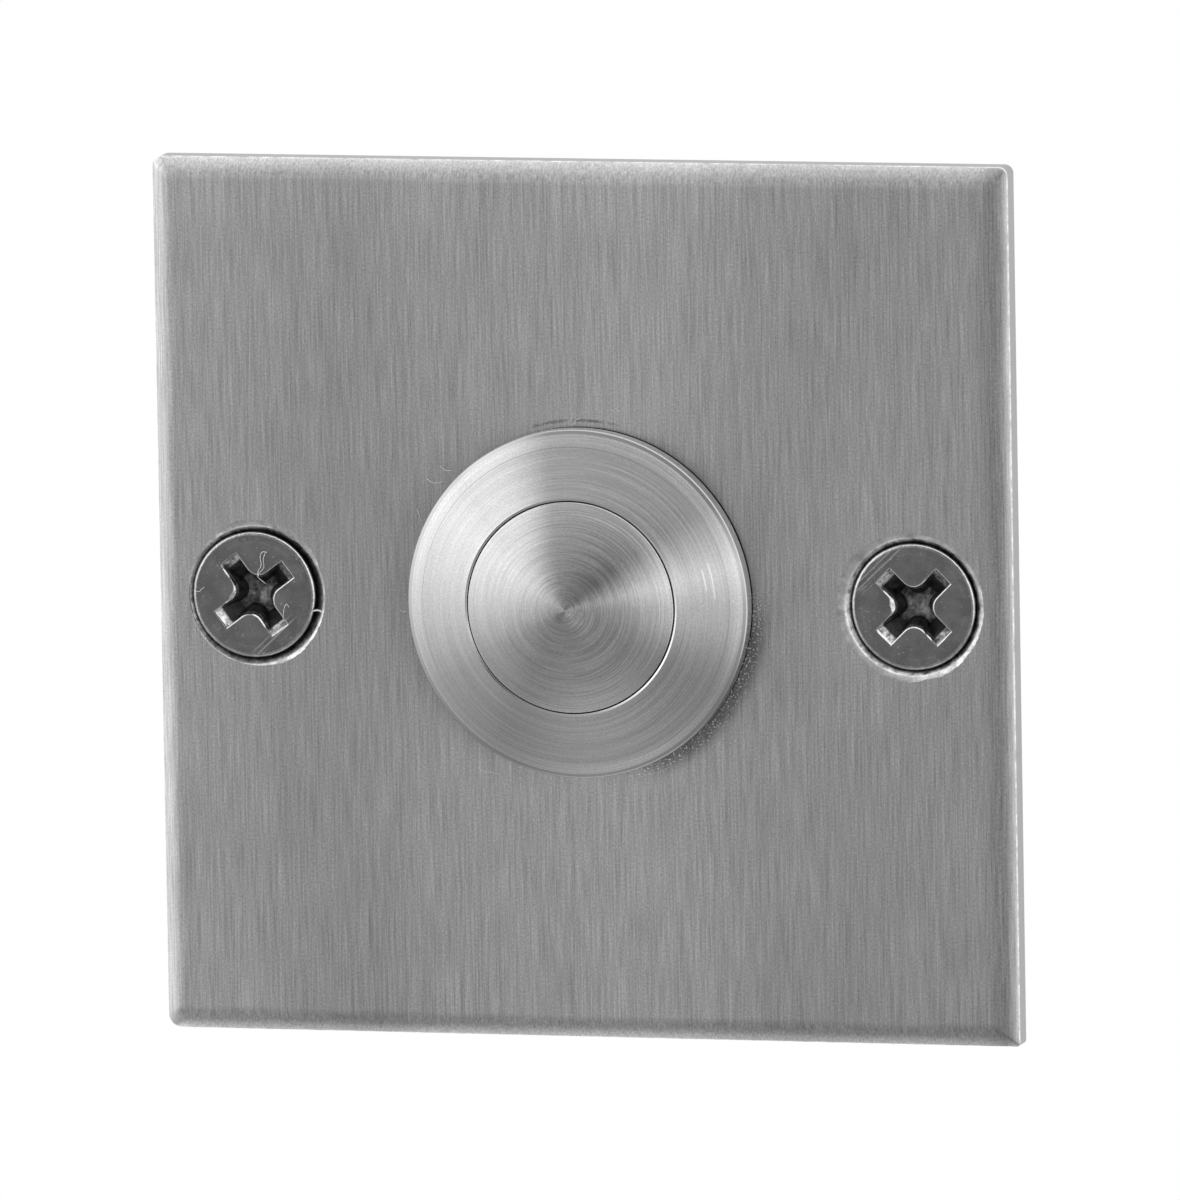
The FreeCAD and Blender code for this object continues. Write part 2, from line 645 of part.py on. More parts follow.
def lock_washer():
    """Flat ring with inner teeth that bite the thread's runout and the nut's face."""
    front = -SPOTFACE_DEPTH
    back = front + WASHER_THICKNESS
    washer = ring(THREAD_HOLE_RADIUS, WASHER_RADIUS, front, back)
    pitch = 360.0 / WASHER_TEETH
    gap_angle = pitch * (1 - WASHER_TOOTH_SHARE)
    notch_face = closed_wire(
        (THREAD_HOLE_RADIUS - CUT_PAST, front - CUT_PAST),
        [
            (WASHER_RADIUS - WASHER_BAND, front - CUT_PAST),
            (WASHER_RADIUS - WASHER_BAND, back + CUT_PAST),
            (THREAD_HOLE_RADIUS - CUT_PAST, back + CUT_PAST),
        ],
    )
    notch = Part.Face(notch_face).revolve(at(0, 0, 0), at(0, 1, 0), gap_angle)
    notches = []
    for tooth in range(WASHER_TEETH):
        copy = notch.copy()
        copy.rotate(at(0, 0, 0), at(0, 1, 0), pitch * tooth)
        notches.append(copy)
    return washer.cut(notches)


def mounting_nut():
    """Hexagon nut, plain where it bears on the washer and chamfered to a circle behind."""
    corner = NUT_ACROSS_FLATS / 2 / math.cos(math.pi / NUT_SIDES)
    corners = []
    for index in range(NUT_SIDES + 1):
        angle = 2 * math.pi * index / NUT_SIDES
        corners.append(at(corner * math.cos(angle), NUT_FRONT, corner * math.sin(angle)))
    hexagon = Part.Face(Part.makePolygon(corners)).extrude(at(0, NUT_THICKNESS, 0))
    face_radius = NUT_ACROSS_FLATS / 2
    drop = (corner - face_radius) * math.tan(math.radians(NUT_CHAMFER_ANGLE))
    nut_back = NUT_FRONT + NUT_THICKNESS
    envelope = turned(
        (0, NUT_FRONT),
        [
            (corner, NUT_FRONT),
            (corner, nut_back - drop),
            (face_radius, nut_back),
            (0, nut_back),
        ],
    )
    bore = rod(THREAD_HOLE_RADIUS, NUT_FRONT - CUT_PAST, nut_back + CUT_PAST)
    return hexagon.common(envelope).cut(bore)


def main():
    os.makedirs("parts", exist_ok=True)
    save("face_plate", face_plate())
    save("button_housing", button_housing())
    save("push_cap", push_cap())
    save("flange_gasket", flange_gasket())
    save("cap_seal", cap_seal())
    save("return_spring", return_spring())
    save("guide_plate", guide_plate())
    save("plunger", plunger())
    save("contact_bridge", contact_bridge())
    save("switch_base", switch_base())
    save("retaining_ring", retaining_ring())
    save("lock_washer", lock_washer())
    save("mounting_nut", mounting_nut())
    for name, side in (("left", -1), ("right", 1)):
        save("terminal_" + name, terminal(side))
        save("wire_clamp_" + name, wire_clamp(side))
        save("terminal_screw_" + name, terminal_screw(side))
    for name, (_, screw_x, turn) in screw_places().items():
        save("mounting_screw_" + name, mounting_screw(screw_x, turn))


main()
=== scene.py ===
import functools
import math

import bmesh
import bpy
from mathutils import Matrix, Vector, geometry, noise


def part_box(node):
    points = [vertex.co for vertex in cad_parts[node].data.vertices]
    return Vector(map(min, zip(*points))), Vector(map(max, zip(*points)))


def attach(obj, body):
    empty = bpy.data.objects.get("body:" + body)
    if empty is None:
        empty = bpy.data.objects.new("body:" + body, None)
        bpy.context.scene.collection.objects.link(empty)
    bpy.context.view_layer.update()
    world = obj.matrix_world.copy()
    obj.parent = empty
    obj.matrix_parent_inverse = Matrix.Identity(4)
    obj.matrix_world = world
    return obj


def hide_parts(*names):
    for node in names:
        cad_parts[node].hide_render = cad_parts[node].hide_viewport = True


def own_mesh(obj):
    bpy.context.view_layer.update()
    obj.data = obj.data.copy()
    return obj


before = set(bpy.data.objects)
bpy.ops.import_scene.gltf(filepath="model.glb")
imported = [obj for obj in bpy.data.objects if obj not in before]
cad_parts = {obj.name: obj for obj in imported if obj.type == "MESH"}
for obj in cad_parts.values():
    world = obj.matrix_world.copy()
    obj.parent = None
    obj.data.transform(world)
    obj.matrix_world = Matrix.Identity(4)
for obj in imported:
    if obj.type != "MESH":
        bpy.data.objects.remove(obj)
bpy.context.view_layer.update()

bl_info = {
    "name": "Doorbell push button",
    "version": (1, 0, 0),
    "blender": (4, 5, 0),
    "location": "3D View > Sidebar > Push button",
    "description": "Finishes and fine shapes of a square steel doorbell push button",
    "category": "Object",
}

# Metres. The origin is the centre of the plate's back face, the front faces -Y and +Z is up.
MM = 0.001
PLATE_LOW, PLATE_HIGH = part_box("face_plate")
HOUSING_LOW, HOUSING_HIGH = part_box("button_housing")
CAP_LOW, CAP_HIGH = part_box("push_cap")
SPRING_LOW, SPRING_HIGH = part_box("return_spring")

# Direction in which the front face mirrors the camera: the lights are laid out round it.
MIRROR_X = -0.267
MIRROR_Z = -0.1334


# Settings


def linear(code):
    """sRGB hex colour as the linear colour that the shaders take."""
    parts = [int(code[i : i + 2], 16) / 255 for i in (1, 3, 5)]
    return tuple(p / 12.92 if p <= 0.04045 else ((p + 0.055) / 1.055) ** 2.4 for p in parts)


def shade(label, code):
    about = label + " seen straight on"
    return bpy.props.FloatVectorProperty(
        name=label, description=about, default=linear(code), min=0.0, max=1.0, subtype="COLOR"
    )


def length(label, about, millimetres):
    return bpy.props.FloatProperty(
        name=label, description=about, default=millimetres * MM, min=0.0, unit="LENGTH", precision=6
    )


def bearing(label, about, degrees):
    return bpy.props.FloatProperty(
        name=label, description=about, default=math.radians(degrees), subtype="ANGLE"
    )


class PlateSettings(bpy.types.PropertyGroup):
    steel: shade("Plate steel", "#CCCCCC")
    corner: length("Corner radius", "Radius of the plate's four corners", 0.7)
    fall_width: length("Fall width", "How far in from the edge the belt wore the front down", 1.3)
    fall: length("Fall", "How much lower the front is at its worn edge", 0.42)
    edge_round: length("Edge round", "Radius of the crisp edge between front and side", 0.08)
    wear: bpy.props.FloatProperty(
        name="Edge wear",
        description="How unevenly the brushing wore the front edge",
        default=0.12,
        min=0.0,
        max=1.0,
        subtype="FACTOR",
    )
    line_width: length("Line width", "Width of one brushed line", 0.095)
    line_length: length("Line length", "Length of one brushed line", 3.5)
    lip: length("Countersink lip", "Width of the worn lip of the screw holes", 0.45)


class ButtonSettings(bpy.types.PropertyGroup):
    steel: shade("Turned steel", "#DDDDDD")
    zone: length("Rim zone", "Width of the zone along the flange's rim", 0.95)
    groove: length("Groove spacing", "Distance between turning marks", 0.072)
    rim_round: length("Rim round", "Radius of the flange's rim", 0.12)
    mouth_round: length("Mouth round", "Radius of the bore's mouth", 0.02)
    thread_pitch: length("Thread pitch", "Pitch of the barrel's thread", 1.0)
    thread_depth: length("Thread depth", "Depth of the barrel's thread", 0.61)


class ScrewSettings(bpy.types.PropertyGroup):
    steel: shade("Screw steel", "#A2A2A2")
    rim_round: length("Head rim round", "Radius of the head's rim", 0.16)
    recess_depth: length("Recess depth", "Depth of the cross recess", 1.5)
    pitch: length("Thread pitch", "Pitch of the wood thread", 1.8)
    core: length("Core radius", "Radius of the shank under the wood thread", 1.25)


class StageSettings(bpy.types.PropertyGroup):
    floor: shade("Floor", "#EDEDED")
    floor_drop: length("Floor height", "How far the floor lies under the origin", 60.0)
    key_power: bpy.props.FloatProperty(
        name="Key lamp", description="Power of the key lamp", default=0.25, min=0.0, unit="POWER"
    )
    camera_distance: length("Camera distance", "From the aimed point to the camera", 1337.0)
    azimuth: bearing("Azimuth", "Camera direction about the vertical", 15.2)
    elevation: bearing("Elevation", "Camera direction above the horizontal", 7.666)
    roll: bearing("Roll", "Camera roll", -0.988)


# Node trees


MATHS = {
    "times": "MULTIPLY",
    "plus": "ADD",
    "minus": "SUBTRACT",
    "times plus": "MULTIPLY_ADD",
    "size": "ABSOLUTE",
    "most": "MAXIMUM",
    "least": "MINIMUM",
    "root": "SQRT",
    "bearing": "ARCTAN2",
}
VECTOR_MATHS = {
    "scale": "MULTIPLY",
    "offset": "SUBTRACT",
    "across": "CROSS_PRODUCT",
    "along": "DOT_PRODUCT",
    "length": "LENGTH",
    "direction": "NORMALIZE",
}
# Node types under plain names, each with its settings
NODES = {
    **{name: ("ShaderNodeMath", {"operation": kind}) for name, kind in MATHS.items()},
    **{name: ("ShaderNodeVectorMath", {"operation": kind}) for name, kind in VECTOR_MATHS.items()},
    "range": ("ShaderNodeMapRange", {}),
    "soft range": ("ShaderNodeMapRange", {"interpolation_type": "SMOOTHSTEP"}),
    "mix": ("ShaderNodeMix", {"data_type": "FLOAT"}),
    "split": ("ShaderNodeSeparateXYZ", {}),
    "join": ("ShaderNodeCombineXYZ", {}),
    "turn": ("ShaderNodeVectorRotate", {"rotation_type": "Y_AXIS"}),
    "noise": ("ShaderNodeTexNoise", {}),
    "ramp": ("ShaderNodeValToRGB", {}),
    "bump": ("ShaderNodeBump", {}),
    "surface": ("ShaderNodeBsdfPrincipled", {}),
    "upright curve": ("GeometryNodeSetCurveNormal", {"mode": "Z_UP"}),
    "outline": ("GeometryNodeCurvePrimitiveCircle", {"mode": "RADIUS"}),
    "transform": ("GeometryNodeTransform", {}),
}


def add_node(tree, kind, *inputs, stops=()):
    """Adds a node, by a name from NODES or by its type.

    Each input is a value, a socket, a node for its first output, or None to leave it. They come
    in the node's order, or by name in one dict. Stops are a ramp's greys, as (position, grey).
    """
    node_type, settings = NODES.get(kind, (kind, {}))
    made = tree.nodes.new(node_type)
    for name, value in settings.items():
        setattr(made, name, value)
    named = inputs[0] if inputs and isinstance(inputs[0], dict) else dict(enumerate(inputs))
    for key, value in named.items():
        if isinstance(value, bpy.types.Node):
            value = value.outputs[0]
        if isinstance(value, bpy.types.NodeSocket):
            tree.links.new(value, made.inputs[key])
        elif value is not None:
            made.inputs[key].default_value = value
    if stops:
        elements = made.color_ramp.elements
        while len(elements) < len(stops):
            elements.new(0.5)
        for element, (position, grey) in zip(elements, stops):
            element.position = position
            element.color = (grey, grey, grey, 1.0)
    return made


def new_material(name):
    """An empty material, the function that adds nodes to it, and the place on the object."""
    material = bpy.data.materials.new(name)
    material.use_nodes = True
    material.node_tree.nodes.clear()
    add = functools.partial(add_node, material.node_tree)
    return material, add, add("ShaderNodeTexCoord").outputs["Object"]


def finish_material(material, shader):
    add_node(material.node_tree, "ShaderNodeOutputMaterial", shader)
    return material


def product(add, *levels):
    return functools.reduce(lambda first, second: add("times", first, second), levels)


def pattern(add, place, sizes, detail=2.0, roughness=0.5):
    """Noise with features of the given size in millimetres: one size, or one for each axis."""
    sizes = sizes if isinstance(sizes, tuple) else (sizes,) * 3
    scaled = add("scale", place, tuple(1 / (size * MM) for size in sizes))
    return add("noise", {"Vector": scaled, "Scale": 1.0, "Detail": detail, "Roughness": roughness})


def from_axis(add, place):
    """Distance from the Y axis, and the direction away from it."""
    flat = add("scale", place, (1.0, 0.0, 1.0))
    return add("length", flat).outputs["Value"], add("direction", flat)


def near_bearing(add, around, degrees, spread, soft):
    """1 within spread degrees of a bearing seen from the front, and 0 when soft degrees beyond."""
    turn = math.radians(degrees)
    toward = (math.cos(turn), 0.0, math.sin(turn))
    out, full = (math.cos(math.radians(angle)) for angle in (spread + soft, spread))
    return add("soft range", add("along", around, toward).outputs["Value"], out, full)


def near_radius(add, radius, middle, spread, soft):
    away = add("size", add("minus", radius, middle))
    return add("soft range", away, spread, spread + soft, 1.0, 0.0)


# Finishes of the parts that show


# Broad upright bands that overlapping belt passes left: share of the width, brightness
BELT_BANDS = (
    (0.0, 0.95), (0.07, 0.93), (0.16, 0.86), (0.25, 0.83), (0.34, 0.90), (0.44, 0.91),
    (0.53, 0.97), (0.62, 0.92), (0.70, 0.83), (0.90, 0.82), (0.955, 0.84), (0.972, 0.74),
    (0.985, 0.56), (0.994, 0.58), (1.0, 0.74),
)

# Bearing, in degrees from the right, of the darker crescent and dust specks at the flange's lower right
CRESCENT_BEARING = -36.0

# How far the lines lean out of the upright and out of the sheet, as seen on the plate
LINE_DIRECTION = (0.011, 0.013, 1.0)


def worn_levels(add, settings, x, z):
    """How worn the front is towards its side edges and towards its top and bottom, 0 to 1."""
    start = PLATE_HIGH.x - settings.fall_width
    # The belt wore the left side a little further in than the right one.
    shift = 0.2 * MM
    sideways = add("size", add("minus", x, shift))
    side = add("soft range", sideways, start + shift, PLATE_HIGH.x)
    return side, add("soft range", add("size", z), start, PLATE_HIGH.x)


def flange_shade_and_dirt(add, place):
    """Painted shade under the flange's rim, a darker crescent and a smudge beside it, and bright dust
    specks.
    """
    rim = HOUSING_HIGH.x
    radius, around = from_axis(add, place)
    blots = pattern(add, place, 0.6667, 3.0, 0.7)
    # Painted shade: the plate is nearly black just under the flange's rim.
    painted_shade_under_flange = add("range", radius, rim - 0.03 * MM, rim + 0.01 * MM, 0.02, 1.0)
    # Darker in a blotchy crescent at the flange's lower right.
    crescent = product(
        add,
        near_bearing(add, around, CRESCENT_BEARING, 16.0, 28.0),
        add("soft range", radius, rim + 0.2 * MM, rim + 1.3 * MM, 1.0, 0.0),
        add("range", blots, 0.3, 0.6, 0.7, 1.2),
    )
    smudge = product(
        add,
        near_bearing(add, around, 93.0, 9.0, 8.0),
        near_radius(add, radius, rim + 0.36 * MM, 0.03 * MM, 0.10 * MM),
        add("range", blots, 0.42, 0.52),
    )
    dark = product(
        add,
        painted_shade_under_flange,
        add("mix", add("range", crescent, 0.0, 1.0), None, 1.0, 0.5),
        add("mix", smudge, None, 1.0, 0.5),
    )
    specks = product(
        add,
        add("range", pattern(add, place, 0.1111, 1.0), 0.58, 0.66),
        near_bearing(add, around, CRESCENT_BEARING, 30.0, 14.0),
        add("soft range", radius, rim + 0.2 * MM, rim + 1.0 * MM, 1.0, 0.0),
    )
    return dark, specks


def brushed_plate_finish(settings):
    """Stainless sheet brushed with a belt along Z.

    Fine upright lines of uneven length with a crisp grain over them, a highlight that spreads
    sideways across them, and soft clouds where the belt pressed less. Towards the edges the
    belt wore it smoother, and there its colour is painted brighter as a painted highlight. The
    colour is also painted brighter towards the top and where the front faces down, on the fall
    at the bottom edge and most at the bottom corners; the top corners are a little darker.
    Painted shade makes it nearly black under the flange's rim, and beside the rim lie a darker
    blotchy crescent at the lower right, a smudge and bright dust specks.
    """
    material, add, place = new_material("stainless_brushed_upright")
    wide, long = settings.line_width / MM, settings.line_length / MM
    fine = pattern(add, place, (wide, wide, long), 3.0, 0.6)
    broad = pattern(add, place, (wide * 4, wide * 4, long * 2.5))
    grain = pattern(add, place, (0.1053, 0.1053, 0.125), 2.0, 0.6)
    cloud = pattern(add, place, (11.11, 11.11, 20.0))
    lines = add("plus", fine, add("times", broad, 0.25))
    x, _, z = add("split", place).outputs
    side_wear, end_wear = worn_levels(add, settings, x, z)
    wear = add("most", side_wear, end_wear)
    crisp = add("range", grain, 0.25, 0.75, 0.77, 1.23)
    faint = add("range", grain, 0.25, 0.75, 0.88, 1.12)
    facing = add("ShaderNodeNewGeometry").outputs["Normal"]
    # Negative on the fall at the bottom edge, which faces the bright floor
    slope = add("split", facing).outputs[2]
    corner = add("least", side_wear, end_wear)
    dark, specks = flange_shade_and_dirt(add, place)
    tone = product(
        add,
        add("range", lines, 0.35, 0.90, 0.66, 1.30),
        add("range", cloud, 0.3, 0.7, 0.95, 1.05),
        add("ramp", add("range", x, PLATE_LOW.x, PLATE_HIGH.x), stops=BELT_BANDS),
        # Painted highlight: a little brighter towards the top edge.
        add("range", z, PLATE_HIGH.z - 4.5 * MM, PLATE_HIGH.z - 1.3 * MM, 1.0, 1.06),
        # Painted highlight: the worn falls are painted brighter.
        add("mix", wear, None, 1.0, 1.25),
        add("mix", wear, None, crisp, faint),
        # Painted highlight: much brighter at the corners that face down, a little darker at the others.
        add("mix", corner, None, 1.0, add("range", slope, -0.25, -0.05, 1.6, 0.95)),
        # Painted highlight: brighter where the front faces down towards the floor.
        add("range", slope, -0.3, -0.05, 1.1, 1.0),
        # Painted shade under the flange's rim, with a darker crescent and a smudge beside it.
        dark,
    )
    tone = add("plus", tone, add("times", specks, 1.2))
    colour = add("scale", settings.steel, tone)
    bump = add("bump", {"Height": lines, "Distance": 0.004 * MM})
    rough = add("mix", side_wear, None, add("range", fine, 0.3, 0.7, 0.42, 0.5), 0.23)
    surface = {"Base Color": colour, "Metallic": 1.0, "Roughness": rough, "Anisotropic": 0.85}
    tangent = add("across", LINE_DIRECTION, facing)
    return finish_material(material, add("surface", {**surface, "Tangent": tangent, "Normal": bump}))



def countersink_finish():
    """Drilled countersink with painted shade: dull grey at the lip, nearly black below, speckled."""
    material, add, place = new_material("countersink_painted_shade")
    y = add("split", place).outputs[1]
    level = add("range", y, PLATE_LOW.y, PLATE_LOW.y + 0.8 * MM)
    # Painted shade: darker with depth, from dull grey to nearly black.
    ramp = add("ramp", level, stops=((0.0, 0.56), (0.2, 0.52), (0.5, 0.30), (0.8, 0.05)))
    specks = pattern(add, place, (0.3846, 0.6667, 0.3846), 3.0, 0.65)
    colour = add("scale", ramp, add("range", specks, 0.35, 0.7, 0.35, 1.5))
    bump = add("bump", {"Height": specks, "Distance": 0.02 * MM})
    surface = {"Base Color": colour, "Metallic": 1.0, "Roughness": 0.42, "Normal": bump}
    return finish_material(material, add("surface", surface))


def countersink_lip_finish():
    """Lip of a countersink and crisp round of the front edge, burnished by the tool: patchy,
    with drag marks, and painted brighter than the plate as a painted highlight.
    """
    material, add, place = new_material("stainless_lip_burnished_painted_highlight")
    patches = pattern(add, place, 0.7143, 3.0, 0.65)
    grain = pattern(add, place, 0.0833, 1.0)
    patchy = add("range", patches, 0.35, 0.62, 0.66, 1.16)
    tone = product(add, patchy, add("range", grain, 0.3, 0.7, 0.88, 1.12))
    # Painted highlight: a brighter colour than the plate's steel.
    colour = add("scale", linear("#E8E8E8"), tone)
    bump = add("bump", {"Height": patches, "Distance": 0.012 * MM})
    rough = add("range", patches, 0.35, 0.65, 0.45, 0.3)
    surface = {"Base Color": colour, "Metallic": 1.0, "Roughness": rough, "Normal": bump}
    return finish_material(material, add("surface", surface))


def turned_noise(add, radius, around, spacing, sweep, shift, detail=2.0):
    """Noise in rings, a spacing apart in metres, each mark fading within a part of a turn."""
    x, _, z = add("split", around).outputs
    depth = add("times plus", radius, 1 / spacing, shift)
    place = add("join", depth, add("times", x, sweep), add("times", z, sweep))
    return add("noise", {"Vector": place, "Scale": 1.0, "Detail": detail})


def turned_finish(name, settings, shift, contrast, polished=(), zone=None, scratches=()):
    """Stainless faced on a lathe and polished with fine cloth.

    Concentric marks from hair-fine to a few tenths wide that fade along their arc, and fans of
    light that turn with the angle, because the marks spread each reflection across them. Each
    polished edge, (radius, brightness), is smoother, and its tone is set to the brightness: a
    painted glint above 1, painted darker below 1. A scratch is (radius, bearing, spread).
    """
    material, add, place = new_material(name)
    radius, around = from_axis(add, place)
    fine = turned_noise(add, radius, around, settings.groove, 1.0, shift, 3.0)
    broad = turned_noise(add, radius, around, settings.groove * 7, 0.6, shift + 7.0)
    grain = pattern(add, place, 0.1053, 2.0, 0.6)
    lines = add("plus", fine, add("times", broad, 0.35))
    tone = add("range", lines, 0.42, 0.92, 0.96 - contrast, 0.96 + contrast)
    tone = product(add, tone, add("range", grain, 0.25, 0.75, 0.88, 1.12))
    rough = add("range", fine, 0.3, 0.7, 0.20, 0.25)
    if zone:
        line = near_radius(add, radius, zone, 0.0, 0.05 * MM)
        brighter = add("range", radius, zone, zone + 0.5 * MM, 1.0, 1.13)
        tone = product(add, tone, brighter, add("mix", line, None, 1.0, 0.8))
    # Painted tone at each polished edge: above 1 a painted glint, below 1 darker.
    for middle, bright in polished:
        edge = near_radius(add, radius, middle, 0.1 * MM, 0.04 * MM)
        rough = add("mix", edge, None, rough, 0.14)
        tone = add("mix", edge, None, tone, bright)
    for middle, degrees, spread in scratches:
        near = near_bearing(add, around, degrees, spread, 4.0)
        scratch = product(add, near_radius(add, radius, middle, 0.01 * MM, 0.05 * MM), near)
        tone = add("mix", scratch, None, tone, 1.38)
    colour = add("scale", settings.steel, tone)
    bump = add("bump", {"Height": lines, "Distance": 0.003 * MM})
    x, _, z = add("split", place).outputs
    marks = add("join", z, 0.0, add("times", x, -1.0))
    tangent = add("across", add("ShaderNodeNewGeometry").outputs["Normal"], marks)
    surface = {"Base Color": colour, "Metallic": 1.0, "Roughness": rough, "Anisotropic": 1.0}
    return finish_material(material, add("surface", {**surface, "Tangent": tangent, "Normal": bump}))


def plain_metal(name, code, roughness, grain, tone_spread, bump_depth, direction=(1.0, 1.0, 1.0)):
    """Metal with an even fine grain of the given size. Longer grain along an axis shows drawing."""
    material, add, place = new_material(name)
    grains = pattern(add, place, tuple(grain / part for part in direction), 3.0, 0.6)
    clouds = pattern(add, place, 3.846)
    tone = add("range", grains, 0.3, 0.7, 1 - tone_spread, 1 + tone_spread)
    tone = product(add, tone, add("range", clouds, 0.3, 0.7, 0.94, 1.06))
    colour = add("scale", linear(code), tone)
    bump = add("bump", {"Height": grains, "Distance": bump_depth * MM})
    rough = add("range", clouds, 0.3, 0.7, roughness - 0.05, roughness + 0.05)
    surface = {"Base Color": colour, "Metallic": 1.0, "Roughness": rough, "Normal": bump}
    return finish_material(material, add("surface", surface))


def moulded_plastic(name, code, roughness, grain, bump_depth):
    """Moulded part: even colour, a spark-eroded grain and slightly glossier worn spots."""
    material, add, place = new_material(name)
    grains = pattern(add, place, grain, 3.0, 0.6)
    clouds = pattern(add, place, 4.545)
    colour = add("scale", linear(code), add("range", clouds, 0.3, 0.7, 0.92, 1.08))
    bump = add("bump", {"Height": grains, "Distance": bump_depth * MM})
    rough = add("range", clouds, 0.3, 0.7, roughness - 0.06, roughness + 0.06)
    surface = {"Base Color": colour, "Roughness": rough, "Normal": bump, "IOR": 1.5}
    return finish_material(material, add("surface", surface))


def screw_head_finish(side, settings, x, bundle):
    """Stainless screw head, barrelled smooth: satin grey, soft stains, a rubbed ring, a few
    specks of dust and one bundle of scratches.

    The bundle is its middle, half length and half width, in millimetres from the middle of the
    head.
    """
    material, add, place = new_material("stainless_screw_satin_" + side)
    grain = pattern(add, place, 0.1111, 2.0, 0.6)
    stains = pattern(add, place, 1.1111, 3.0, 0.6)
    tone = add("range", grain, 0.3, 0.7, 0.88, 1.12)
    tone = product(add, tone, add("range", stains, 0.35, 0.65, 0.92, 1.07))
    radius, _ = from_axis(add, add("offset", place, (x, 0.0, 0.0)))
    rubbed = near_radius(add, radius, 3.0 * MM, 0.0, 0.07 * MM)
    rubbed = product(add, rubbed, add("range", stains, 0.46, 0.54))
    dust = add("range", pattern(add, place, 0.1923, 1.0), 0.70, 0.74)
    middle_x, middle_z, half_length, half_width = (size * MM for size in bundle)
    here = add("offset", place, (x + middle_x, 0.0, middle_z))
    turned = add("turn", {"Vector": here, "Angle": math.radians(43.0)})
    u, _, w = add("split", turned).outputs
    scratch = product(
        add,
        near_radius(add, u, 0.0, half_length * 0.7, half_length * 0.4),
        near_radius(add, w, 0.0, half_width * 0.7, half_width * 0.4),
        add("range", pattern(add, turned, (6.25, 6.25, 0.122), 1.0), 0.50, 0.56),
    )
    for mark, brighter in ((rubbed, 0.22), (dust, 0.8), (scratch, 0.9)):
        tone = add("plus", tone, add("times", mark, brighter))
    height = add("minus", grain, add("times", scratch, 2.0))
    bump = add("bump", {"Height": height, "Distance": 0.001 * MM})
    rough = add("range", stains, 0.3, 0.7, 0.24, 0.32)
    colour = add("scale", settings.steel, tone)
    surface = {"Base Color": colour, "Metallic": 1.0, "Roughness": rough, "Normal": bump}
    return finish_material(material, add("surface", surface))


# Painted light and shade of the cross recess from its lip to its floor, and where it is
# metallic: shares of its depth, level
RECESS_PAINTED_SHADE = (
    (0.0, 0.7), (0.08, 0.52), (0.2, 0.36), (0.24, 0.02), (0.8, 0.016), (0.88, 0.2), (1.0, 0.25),
)
RECESS_METALLIC = ((0.2, 1.0), (0.24, 0.0), (0.8, 0.0), (0.88, 1.0))


def recess_finish(top, depth):
    """Punched cross recess with painted light and shade: bright just under the lip, nearly black
    and not metallic on the walls, grey on the floor.
    """
    material, add, place = new_material("stainless_recess_punched")
    level = add("range", add("split", place).outputs[1], top, top + depth)
    specks = pattern(add, place, 0.3846, 3.0, 0.7)
    tone = add("range", specks, 0.38, 0.7, 0.3, 2.2)
    surface = {
        # Painted shade darkens the walls to nearly black; under the lip it is painted bright.
        "Base Color": add("scale", add("ramp", level, stops=RECESS_PAINTED_SHADE), tone),
        "Metallic": add("ramp", level, stops=RECESS_METALLIC),
        "Roughness": 0.4,
        "Specular IOR Level": 0.25,
        "Normal": add("bump", {"Height": specks, "Distance": 0.02 * MM}),
    }
    return finish_material(material, add("surface", surface))


def edge_finish():
    """Edges of the screw head that the punch and the driver burnished: nearly smooth, and painted
    bright as a painted highlight.
    """
    material, add, place = new_material("stainless_edge_burnished_painted_highlight")
    dents = pattern(add, place, 0.3333, 2.0, 0.6)
    # Painted highlight: far brighter than the head's steel.
    colour = add("scale", linear("#E6E6E6"), add("range", dents, 0.3, 0.7, 0.72, 1.08))
    bump = add("bump", {"Height": dents, "Distance": 0.02 * MM})
    surface = {"Base Color": colour, "Metallic": 1.0, "Roughness": 0.2, "Normal": bump}
    return finish_material(material, add("surface", surface))


def fibre_finish():
    """Cotton lint of the polishing cloth: white and matt, with a soft sheen."""
    material, add, place = new_material("cotton_lint")
    knots = pattern(add, place, 0.1111, 1.0)
    colour = add("scale", linear("#F2F2F2"), add("range", knots, 0.3, 0.7, 0.7, 1.0))
    surface = {"Base Color": colour, "Roughness": 0.8, "Sheen Weight": 0.3}
    return finish_material(material, add("surface", surface))


# Meshes


def circle(radius, y, steps):
    turns = [2 * math.pi * i / steps for i in range(steps)]
    return [Vector((radius * math.cos(t), y, radius * math.sin(t))) for t in turns]


def add_loop(bm, points):
    return [bm.verts.new(point) for point in points]


def bridge(bm, first, second, index=0):
    count = len(first)
    for i in range(count):
        j = (i + 1) % count
        face = bm.faces.new((first[i], first[j], second[j], second[i]))
        face.material_index = index


def skin(bm, rings, index=0):
    """Joins each ring of points to the next one and returns the first and last loop."""
    loops = [add_loop(bm, ring) for ring in rings]
    for first, second in zip(loops, loops[1:]):
        bridge(bm, first, second, index)
    return loops[0], loops[-1]


def inside(x, z, loops):
    """True where a line to the side crosses the loops an odd number of times."""
    odd = False
    for loop in loops:
        for a, b in zip(loop, loop[1:] + loop[:1]):
            if (a[1] > z) != (b[1] > z) and x < a[0] + (z - a[1]) / (b[1] - a[1]) * (b[0] - a[0]):
                odd = not odd
    return odd


